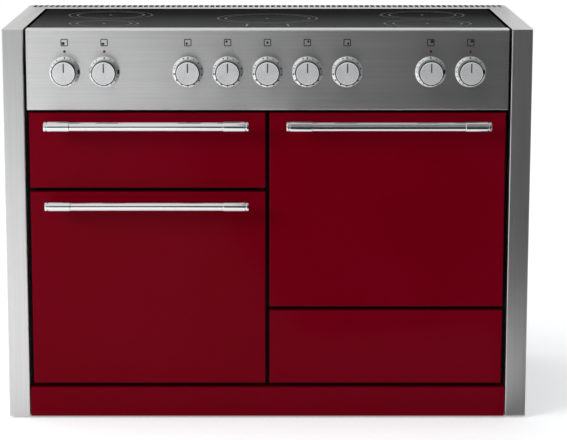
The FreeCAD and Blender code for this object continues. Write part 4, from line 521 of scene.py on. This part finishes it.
for door in ("grill_door", "left_door", "right_door"):
    low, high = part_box(f"{door}_handle")
    middle = Vector(((low.x + high.x) / 2, FRONT - HANDLE_REACH, (low.z + high.z) / 2))
    bar_mesh = lathe_turned(f"{door}_bar", BAR_PROFILE, middle, (1, 0, 0), 64)
    bar = shell(f"{door}_bar", bar_mesh, polished_chrome, door)
    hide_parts(f"{door}_handle")
    for side, way in (("left", -1), ("right", 1)):
        end_mesh = lathe_turned(f"{door}_end_{side}", FERRULE_PROFILE, middle, (way, 0, 0), 64)
        end = shell(f"{door}_end_{side}", end_mesh, polished_chrome, door, sharp=25)
        foot = (middle.x + way * POST_OFFSET, FRONT, middle.z)
        post_mesh = lathe_turned(f"{door}_post_{side}", POST_PROFILE, foot, (0, -1, 0), 40)
        post = shell(f"{door}_post_{side}", post_mesh, polished_chrome, door, sharp=25)

# The drawer is a folded steel box painted grey with a fine stipple. It screws to its front and
# slides on two guides.
grey_paint, tree, shader, place = new_finish("grey_paint")
stipple = stretched_noise(tree, place, (500, 500, 500))
tree.links.new(tinted(tree, stipple, (0.3, 0.085, 0.087, 0.09), (0.7, 0.105, 0.107, 0.11)),
               shader.inputs["Base Color"])
tree.links.new(spread_over(tree, stipple, 0.4, 0.5), shader.inputs["Roughness"])
raised(tree, shader, stipple, 0.1, 0.0003)
finished(grey_paint, "drawer_box")

# The coils are flat windings of lacquered copper strand, and the boards under them are green
# glass fibre laminate on stand-offs.
copper_strand, tree, shader, place = new_finish("copper_strand")
strands = tree.nodes.new("ShaderNodeTexNoise")
strands.inputs["Scale"].default_value = 700
tree.links.new(place, strands.inputs["Vector"])
tree.links.new(tinted(tree, strands.outputs["Fac"], (0.3, 0.33, 0.13, 0.05), (0.7, 0.62, 0.3, 0.14)),
               shader.inputs["Base Color"])
shader.inputs["Metallic"].default_value = 0.8
shader.inputs["Roughness"].default_value = 0.4
raised(tree, shader, strands.outputs["Fac"], 0.5, 0.0006)
finished(copper_strand, "induction_coils")
green_board, tree, shader, place = new_finish("green_board")
laminate = stretched_noise(tree, place, (300, 300, 300))
tree.links.new(tinted(tree, laminate, (0.3, 0.01, 0.07, 0.03), (0.7, 0.02, 0.12, 0.05)),
               shader.inputs["Base Color"])
shader.inputs["Roughness"].default_value = 0.45
finished(green_board, "power_boards")

# The hob is one sheet of black glass-ceramic with ground edges, bonded into a soft black
# silicone frame that keeps spills out.
black_glass, tree, shader, place = new_finish("black_glass")
haze = stretched_noise(tree, place, (5, 5, 5), 4.0)
tree.links.new(tinted(tree, haze, (0.3, 0.006, 0.006, 0.007), (0.7, 0.009, 0.009, 0.01)),
               shader.inputs["Base Color"])
tree.links.new(spread_over(tree, haze, 0.02, 0.035), shader.inputs["Roughness"])
shader.inputs["IOR"].default_value = 1.5
finished(black_glass, "hob_glass")
# The silicone's colour is nearly pure black and has no shine: painted shade for the dark gap round the
# glass.
silicone_and_gap_shade, tree, shader, place = new_finish("silicone_and_gap_shade")
bloom = stretched_noise(tree, place, (90, 90, 90))
tree.links.new(tinted(tree, bloom, (0.3, 0.0008, 0.0008, 0.0008), (0.7, 0.0016, 0.0016, 0.0016)),
               shader.inputs["Base Color"])
shader.inputs["Roughness"].default_value = 0.75
shader.inputs["Specular IOR Level"].default_value = 0.0
finished(silicone_and_gap_shade, "hob_seal")

# Beads of the same near-black silicone run along the hob's joints with the vent strip and the side panels.
# They are painted shade for the dark gaps there, and they stand a little over the glass's top.


def prism(form, low, high):
    """Close the space between two outlines that have the same points."""
    form.faces.new(high)
    form.faces.new(low[::-1])
    for step in range(len(low)):
        after = (step + 1) % len(low)
        form.faces.new((low[step], low[after], high[after], high[step]))


BEAD_OUTLINE = [(0, 0), (0.04, 0.4), (0.16, 0.75), (0.45, 0.95), (1, 1), (1, 0)]
REAR_BEAD_WIDTH = 0.0044
SIDE_BEAD_WIDTH = 0.0046
BEAD_DROP = 0.0001
BEAD_LEVEL = TOP - BEAD_DROP


def bead(form, first, last, out, foot):
    """A bead drawn from one point to another, which rises from its foot and leans outwards."""
    ends = ([form.verts.new((x + share * out[0], y + share * out[1], foot + rise * (BEAD_LEVEL - foot)))
             for share, rise in BEAD_OUTLINE] for x, y in (first, last))
    prism(form, *ends)


GLASS_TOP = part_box("hob_glass")[1].z
seal_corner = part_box("hob_seal")[1]
fascia_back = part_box("control_fascia")[1].y
rear_line = seal_corner.y - REAR_BEAD_WIDTH
beads = bmesh.new()
bead(beads, (-seal_corner.x, rear_line), (seal_corner.x, rear_line), (0, REAR_BEAD_WIDTH), GLASS_TOP)
for way in (1, -1):
    side_line = way * (seal_corner.x - SIDE_BEAD_WIDTH)
    bead(beads, (side_line, fascia_back), (side_line, rear_line), (way * SIDE_BEAD_WIDTH, 0), seal_corner.z)
hob_shade_beads = shell("hob_shade_beads", made_mesh("hob_shade_beads", beads), silicone_and_gap_shade, sharp=40)

# The fascia and the vent strip are stainless sheet folded along their length and brushed
# along it. The fascia hooks over the front frame, and the strip screws to the back.
level_steel = brushed("level_steel", "x", (0.84, 0.835, 0.83), 0.33, 0.36, 0.6)
finished(level_steel, "control_fascia", "vent_rail")

# The rings behind the knobs are coned discs of turned steel, clamped to the fascia by the switch
# bushes. A black scale is printed on each cone: dots for the five hob zones, and ticks and a
# block for the ovens and the grill.
spun_steel, tree, shader, place = new_finish("spun_steel")
rings = stretched_noise(tree, place, (900, 900, 900), 2.0)
tree.links.new(tinted(tree, rings, (0.3, 0.84, 0.84, 0.83), (0.7, 0.9, 0.9, 0.89)),
               shader.inputs["Base Color"])
shader.inputs["Metallic"].default_value = 0.75
tree.links.new(spread_over(tree, rings, 0.28, 0.36), shader.inputs["Roughness"])
printed_black, tree, shader, place = new_finish("printed_black")
ink = stretched_noise(tree, place, (1500, 1500, 1500), 2.0)
tree.links.new(tinted(tree, ink, (0.3, 0.006, 0.006, 0.006), (0.7, 0.014, 0.014, 0.014)),
               shader.inputs["Base Color"])
tree.links.new(spread_over(tree, ink, 0.4, 0.55), shader.inputs["Roughness"])
INK_THICKNESS = 0.00012


def printed(form, outline, level):
    """A thin raised mark that looks to the front, from its outline's (x, z) points."""
    low = [form.verts.new((x, level(x, z), z)) for x, z in outline]
    high = [form.verts.new((x, level(x, z) - INK_THICKNESS, z)) for x, z in outline]
    prism(form, low, high)


def dot(x, z, radius, steps=16):
    """The outline of a round dot."""
    turns = [math.tau * step / steps for step in range(steps)]
    return [(x + radius * math.cos(turn), z + radius * math.sin(turn)) for turn in turns]


def spoke(x, z, turn, inner, outer, half_width):
    """A short bar that points at the middle of a dial, turned clockwise from the top."""
    out, side = (math.sin(turn), math.cos(turn)), (math.cos(turn), -math.sin(turn))
    ends = ((inner, -half_width), (outer, -half_width), (outer, half_width), (inner, half_width))
    return [(x + r * out[0] + w * side[0], z + r * out[1] + w * side[1]) for r, w in ends]


KNOB_LEVEL = sum(corner.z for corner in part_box("knob_zone_three")) / 2
KNOBS = {name.removeprefix("knob_"): sum(corner.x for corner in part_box(name)) / 2
         for name in node if name.startswith("knob_") and name != "knob_bezels"}
BEZEL_RADIUS = 0.035
BEZEL_FLAT = 0.0285
BEZEL_EDGE = 0.0008
BEZEL_THICKNESS = 0.0028
BEZEL_EYE = 0.0052
BEZEL_SLOPE = (BEZEL_THICKNESS - BEZEL_EDGE) / (BEZEL_RADIUS - BEZEL_FLAT)
BEZEL_PROFILE = [
    (0.0, BEZEL_RADIUS - 0.0001), (0.0001, BEZEL_RADIUS), (BEZEL_EDGE - 0.0003, BEZEL_RADIUS),
    (BEZEL_EDGE, BEZEL_RADIUS - 0.0003), (BEZEL_EDGE + 0.0008 * BEZEL_SLOPE, BEZEL_RADIUS - 0.0008),
    (BEZEL_THICKNESS, BEZEL_FLAT), (BEZEL_THICKNESS, BEZEL_EYE), (0.0, BEZEL_EYE),
]
SCALE_RADIUS = 0.0316
ZONE_DOTS = [(0, 0.0019), (-18, 0.0016), (24, 0.0013), (50, 0.0016), (76, 0.0016), (102, 0.0018),
             (128, 0.0019), (154, 0.002), (181, 0.002), (207, 0.002), (234, 0.002),
             (261, 0.0021), (286, 0.0012), (298, 0.0011)]
OFF_DOT = 0.0019
TICK_START, TICK_END, TICK_HALF = 0.0302, 0.0328, 0.0009
BLOCK_START, BLOCK_END, BLOCK_HALF = 0.0296, 0.0338, 0.0017
BLOCK_TURNS = (84, 90, 96)
OVEN_TICKS = [-50, -35, 25, 48, 110, 130, 150, 170, 190, 210, 230, 250, 270, 290]
for name, x in KNOBS.items():
    bezel_mesh = lathe_turned(f"bezel_{name}", BEZEL_PROFILE, (x, FRONT, KNOB_LEVEL), (0, -1, 0))
    bezel = shell(f"bezel_{name}", bezel_mesh, spun_steel, sharp=12)
    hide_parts("knob_bezels")

    def on_cone(mark_x, mark_z, centre=x):
        """How far forward the ring's face is at a point."""
        out = math.hypot(mark_x - centre, mark_z - KNOB_LEVEL)
        return FRONT - BEZEL_EDGE - BEZEL_SLOPE * (BEZEL_RADIUS - max(out, BEZEL_FLAT))

    marks = bmesh.new()
    if name.startswith("zone"):
        for degrees, radius in ZONE_DOTS:
            turn = math.radians(degrees)
            across, up = SCALE_RADIUS * math.sin(turn), SCALE_RADIUS * math.cos(turn)
            printed(marks, dot(x + across, KNOB_LEVEL + up, radius), on_cone)
    else:
        printed(marks, dot(x, KNOB_LEVEL + SCALE_RADIUS, OFF_DOT), on_cone)
        for degrees in OVEN_TICKS:
            tick = spoke(x, KNOB_LEVEL, math.radians(degrees), TICK_START, TICK_END, TICK_HALF)
            printed(marks, tick, on_cone)
        for degrees in BLOCK_TURNS:
            block = spoke(x, KNOB_LEVEL, math.radians(degrees), BLOCK_START, BLOCK_END, BLOCK_HALF)
            printed(marks, block, on_cone)
    shell(f"scale_{name}", made_mesh(f"scale_{name}", marks), printed_black)

# The knobs are black moulded bodies that taper to the fascia, each with a turned steel face let
# into its front. The faces are finely grooved round and round, which fans the light, and carry a
# dark filled pointer. Each knob grips the flatted steel spindle of its switch.
CAP_RADIUS = 0.0278
CAP_FACE = 0.0255
CAP_FOOT_RADIUS = 0.0245
CAP_FOOT = 0.0033
CAP_REACH = 0.034
CAP_RIM = CAP_REACH - 0.0012
SKIRT_PROFILE = [
    (CAP_FOOT, 0.0031), (CAP_FOOT, CAP_FOOT_RADIUS - 0.0006), (CAP_FOOT + 0.0002, CAP_FOOT_RADIUS - 0.0001),
    (CAP_FOOT + 0.0009, CAP_FOOT_RADIUS), (CAP_RIM - 0.001, CAP_RADIUS - 0.0001),
    (CAP_RIM - 0.0005, CAP_RADIUS - 0.0002), (CAP_RIM - 0.0002, CAP_RADIUS - 0.0005),
    (CAP_RIM, CAP_RADIUS - 0.001), (CAP_RIM, CAP_FACE + 0.0001), (CAP_RIM - 0.0005, CAP_FACE + 0.0001),
    (CAP_RIM - 0.0005, 0.0031),
]
FACE_PROFILE = [
    (CAP_REACH - 0.0019, 0.0), (CAP_REACH - 0.0019, CAP_FACE), (CAP_REACH - 0.0006, CAP_FACE),
    (CAP_REACH - 0.0002, CAP_FACE - 0.0002), (CAP_REACH, CAP_FACE - 0.0006), (CAP_REACH, 0.0),
]
POINTER = ((-0.00135, 0.0016), (0.00135, 0.0016), (0.00135, 0.0217), (0.0007, 0.0225),
           (-0.0007, 0.0225), (-0.00135, 0.0217))
POINTER_RISE = 0.00002
SPINDLE_PROFILE = [
    (CAP_RIM - 0.0008, 0.0), (CAP_RIM - 0.0008, 0.003), (-0.0198, 0.003), (-0.02, 0.0027), (-0.02, 0.0),
]
# The knob bodies' black is far darker than the nylon elsewhere and nearly without shine: painted shade for
# the dark gap and shadow round each steel face.
cap_black_and_gap_shade, tree, shader, place = new_finish("cap_black_and_gap_shade")
skin = stretched_noise(tree, place, (1100, 1100, 1100), 2.0)
tree.links.new(tinted(tree, skin, (0.3, 0.003, 0.003, 0.003), (0.7, 0.006, 0.006, 0.006)),
               shader.inputs["Base Color"])
tree.links.new(spread_over(tree, skin, 0.3, 0.42), shader.inputs["Roughness"])
shader.inputs["Specular IOR Level"].default_value = 0.08
raised(tree, shader, skin, 0.1, 0.0001)
cap_steel, tree, shader, place = new_finish("cap_steel")
middle_of_cap = tree.nodes.new("ShaderNodeMapping")
middle_of_cap.inputs["Location"].default_value = (-0.5, -0.5, -0.5)
tree.links.new(tree.nodes["Texture Coordinate"].outputs["Generated"], middle_of_cap.inputs["Vector"])
grooves = tree.nodes.new("ShaderNodeTexWave")
grooves.wave_type = "RINGS"
grooves.rings_direction = "Y"
grooves.inputs["Scale"].default_value = 18
grooves.inputs["Distortion"].default_value = 0.6
grooves.inputs["Detail"].default_value = 2
tree.links.new(middle_of_cap.outputs["Vector"], grooves.inputs["Vector"])
across_face = tree.nodes.new("ShaderNodeVectorMath")
across_face.operation = "MULTIPLY"
across_face.inputs[1].default_value = (2, 0, 2)
tree.links.new(middle_of_cap.outputs["Vector"], across_face.inputs[0])
from_middle = tree.nodes.new("ShaderNodeVectorMath")
from_middle.operation = "LENGTH"
tree.links.new(across_face.outputs["Vector"], from_middle.inputs[0])
# The outer rim of each steel face is painted near white: a painted highlight for the light that its edge
# catches.
painted_rim_highlight = tree.nodes.new("ShaderNodeMix")
painted_rim_highlight.data_type = "RGBA"
painted_rim_highlight.inputs["B"].default_value = (0.97, 0.97, 0.97, 1)
tree.links.new(tinted(tree, grooves.outputs["Fac"], (0.2, 0.7, 0.7, 0.7), (0.8, 0.79, 0.79, 0.79)),
               painted_rim_highlight.inputs["A"])
tree.links.new(spread_over(tree, from_middle.outputs["Value"], 0.0, 1.0, 0.93, 0.95),
               painted_rim_highlight.inputs["Factor"])
tree.links.new(painted_rim_highlight.outputs["Result"], shader.inputs["Base Color"])
shader.inputs["Metallic"].default_value = 0.5
tree.links.new(spread_over(tree, grooves.outputs["Fac"], 0.26, 0.34, 0.2, 0.8), shader.inputs["Roughness"])
shader.inputs["Anisotropic"].default_value = 0.7
turning = tree.nodes.new("ShaderNodeTangent")
turning.direction_type = "RADIAL"
turning.axis = "Y"
tree.links.new(turning.outputs["Tangent"], shader.inputs["Tangent"])
raised(tree, shader, grooves.outputs["Fac"], 0.08, 0.0001)
for name, x in KNOBS.items():
    centre, body = (x, FRONT, KNOB_LEVEL), f"{name}_knob"
    skirt_mesh = lathe_turned(f"skirt_{name}", SKIRT_PROFILE, centre, (0, -1, 0), 96)
    skirt = shell(f"skirt_{name}", skirt_mesh, cap_black_and_gap_shade, body, sharp=40)
    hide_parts(f"knob_{name}")
    face_mesh = lathe_turned(f"face_{name}", FACE_PROFILE, centre, (0, -1, 0), 96)
    face = shell(f"face_{name}", face_mesh, cap_steel, body, sharp=25)
    spindle_mesh = lathe_turned(f"spindle_{name}", SPINDLE_PROFILE, centre, (0, -1, 0), 32)
    spindle = shell(f"spindle_{name}", spindle_mesh, spun_steel, body)
    pointer = bmesh.new()
    outline = [(x + across, KNOB_LEVEL + up) for across, up in POINTER]
    printed(pointer, outline, lambda x, z: FRONT - CAP_REACH + POINTER_RISE)
    shell(f"pointer_{name}", made_mesh(f"pointer_{name}", pointer), printed_black, body)

# Above each knob a small black pictogram is printed on the fascia: a square outline with a dot
# that says which hob zone the knob works, or a block that says which oven.
ICON_RISE = 0.0665
ICON_LEVEL = KNOB_LEVEL + ICON_RISE
ICON_HALF = 0.0083
ICON_LINE = 0.0019
ICON_ROUND = 0.0025
ICON_INNER_ROUND = ICON_ROUND - ICON_LINE * 0.8
ICON_DOT = 0.0026
ICON_DOTS = {"zone_one": (-0.0024, -0.0024), "zone_two": (-0.0024, 0.0024), "zone_three": (0, 0),
             "zone_four": (0.0024, 0.0024), "zone_five": (0.0024, -0.0024)}
ICON_BLOCKS = {"left_outer": (-0.0058, -0.0055, 0.0005, 0.0012),
               "left_inner": (-0.0058, -0.0055, 0.0005, -0.0005),
               "right_inner": (-0.0005, -0.0012, 0.0058, 0.0055),
               "right_outer": (-0.0005, 0.0005, 0.0058, 0.0055)}


def rounded_square(x, z, half, corner, turns=5):
    """The outline of a square with round corners."""
    points = []
    for sign_x, sign_z, start in ((1, 1, 0), (-1, 1, 90), (-1, -1, 180), (1, -1, 270)):
        for step in range(turns):
            turn = math.radians(start + 90 * step / (turns - 1))
            points.append((x + sign_x * (half - corner) + corner * math.cos(turn),
                           z + sign_z * (half - corner) + corner * math.sin(turn)))
    return points


def printed_loop(form, outer, inner, level):
    """A raised line between two outlines with the same number of points."""
    for step in range(len(outer)):
        after = (step + 1) % len(outer)
        corners = (outer[step], outer[after], inner[after], inner[step])
        low = [form.verts.new((x, level, z)) for x, z in corners]
        high = [form.verts.new((x, level - INK_THICKNESS, z)) for x, z in corners]
        form.faces.new(high)
        form.faces.new(low[::-1])
        form.faces.new((low[0], low[1], high[1], high[0]))
        form.faces.new((low[2], low[3], high[3], high[2]))


for name, x in KNOBS.items():
    icon = bmesh.new()
    outer = rounded_square(x, ICON_LEVEL, ICON_HALF, ICON_ROUND)
    inner = rounded_square(x, ICON_LEVEL, ICON_HALF - ICON_LINE, ICON_INNER_ROUND)
    printed_loop(icon, outer, inner, FRONT)
    if name in ICON_DOTS:
        across, up = ICON_DOTS[name]
        block = dot(x + across, ICON_LEVEL + up, ICON_DOT)
    else:
        left, low, right, high = ICON_BLOCKS[name]
        block = [(x + across, ICON_LEVEL + up)
                 for across, up in ((left, low), (right, low), (right, high), (left, high))]
    printed(icon, block, lambda x, z: FRONT)
    bmesh.ops.remove_doubles(icon, verts=icon.verts, dist=1e-7)
    shell(f"icon_{name}", made_mesh(f"icon_{name}", icon), printed_black)

# The lamps over the oven and grill knobs are small round lenses of dark red plastic, pushed into
# holes in the fascia.
red_lens, tree, shader, place = new_finish("red_lens")
tint = stretched_noise(tree, place, (300, 300, 300))
tree.links.new(tinted(tree, tint, (0.3, 0.1, 0.002, 0.004), (0.7, 0.16, 0.004, 0.008)),
               shader.inputs["Base Color"])
shader.inputs["Roughness"].default_value = 0.15
finished(red_lens, "indicator_lamps")

# Each cooking zone is marked on the glass by two fine fired grey rings, with a dot at the middle
# and where each ring crosses the zone's width. Two short slanted ticks lie before the middle zone.
fired_grey, tree, shader, place = new_finish("fired_grey")
print_dots = stretched_noise(tree, place, (1200, 1200, 1200), 2.0)
tree.links.new(tinted(tree, print_dots, (0.3, 0.1, 0.1, 0.1), (0.7, 0.16, 0.16, 0.16)),
               shader.inputs["Base Color"])
shader.inputs["Roughness"].default_value = 0.5
ZONES = {"left_rear": (-0.379, 0.357, 0.1, 0.08), "left_front": (-0.38, 0.149, 0.079, 0.063),
         "centre": (0, 0.272, 0.118, 0.1),
         "right_rear": (0.374, 0.357, 0.1, 0.08), "right_front": (0.372, 0.149, 0.1, 0.08)}
ZONE_LINE = 0.0008
ZONE_DOT = 0.0017
ZONE_PRINT = 0.0001
DOT_PRINT = 0.00015
TICK_CORNERS = ((-0.0508, 0.088), (-0.0474, 0.088), (-0.0438, 0.136), (-0.0472, 0.136))


def glass_ring(form, x, y, radius, line, rise=ZONE_PRINT, steps=96):
    """A flat printed ring, or a disc where its line is as wide as its radius."""
    wide, narrow = radius + line / 2, max(radius - line / 2, 0.0001)
    turns = [math.tau * step / steps for step in range(steps)]
    rows = [[form.verts.new((x + r * math.cos(turn), y + r * math.sin(turn), level)) for turn in turns]
            for r, level in ((wide, GLASS_TOP), (wide, GLASS_TOP + rise),
                             (narrow, GLASS_TOP + rise), (narrow, GLASS_TOP))]
    for row, other in zip(rows, rows[1:] + rows[:1]):
        for k in range(steps):
            after = (k + 1) % steps
            form.faces.new((row[k], row[after], other[after], other[k]))


for name, (x, depth, outer, inner) in ZONES.items():
    y = FRONT + depth
    marks = bmesh.new()
    glass_ring(marks, x, y, outer, ZONE_LINE)
    glass_ring(marks, x, y, inner, ZONE_LINE)
    for across in (0, -outer, outer, -inner, inner):
        glass_ring(marks, x + across, y, ZONE_DOT, 2 * ZONE_DOT, DOT_PRINT, 16)
    if name == "centre":
        for way in (1, -1):
            low, high = ([marks.verts.new((way * across, FRONT + back, level))
                          for across, back in TICK_CORNERS]
                         for level in (GLASS_TOP, GLASS_TOP + ZONE_PRINT))
            prism(marks, low, high)
    shell(f"zone_{name}", made_mesh(f"zone_{name}", marks), fired_grey)

# The pieces that come straight from the drawings keep their shape. Their round faces are shaded
# smooth, as the turned, pressed and bent real ones look.
for piece in node.values():
    piece.data.shade_smooth()
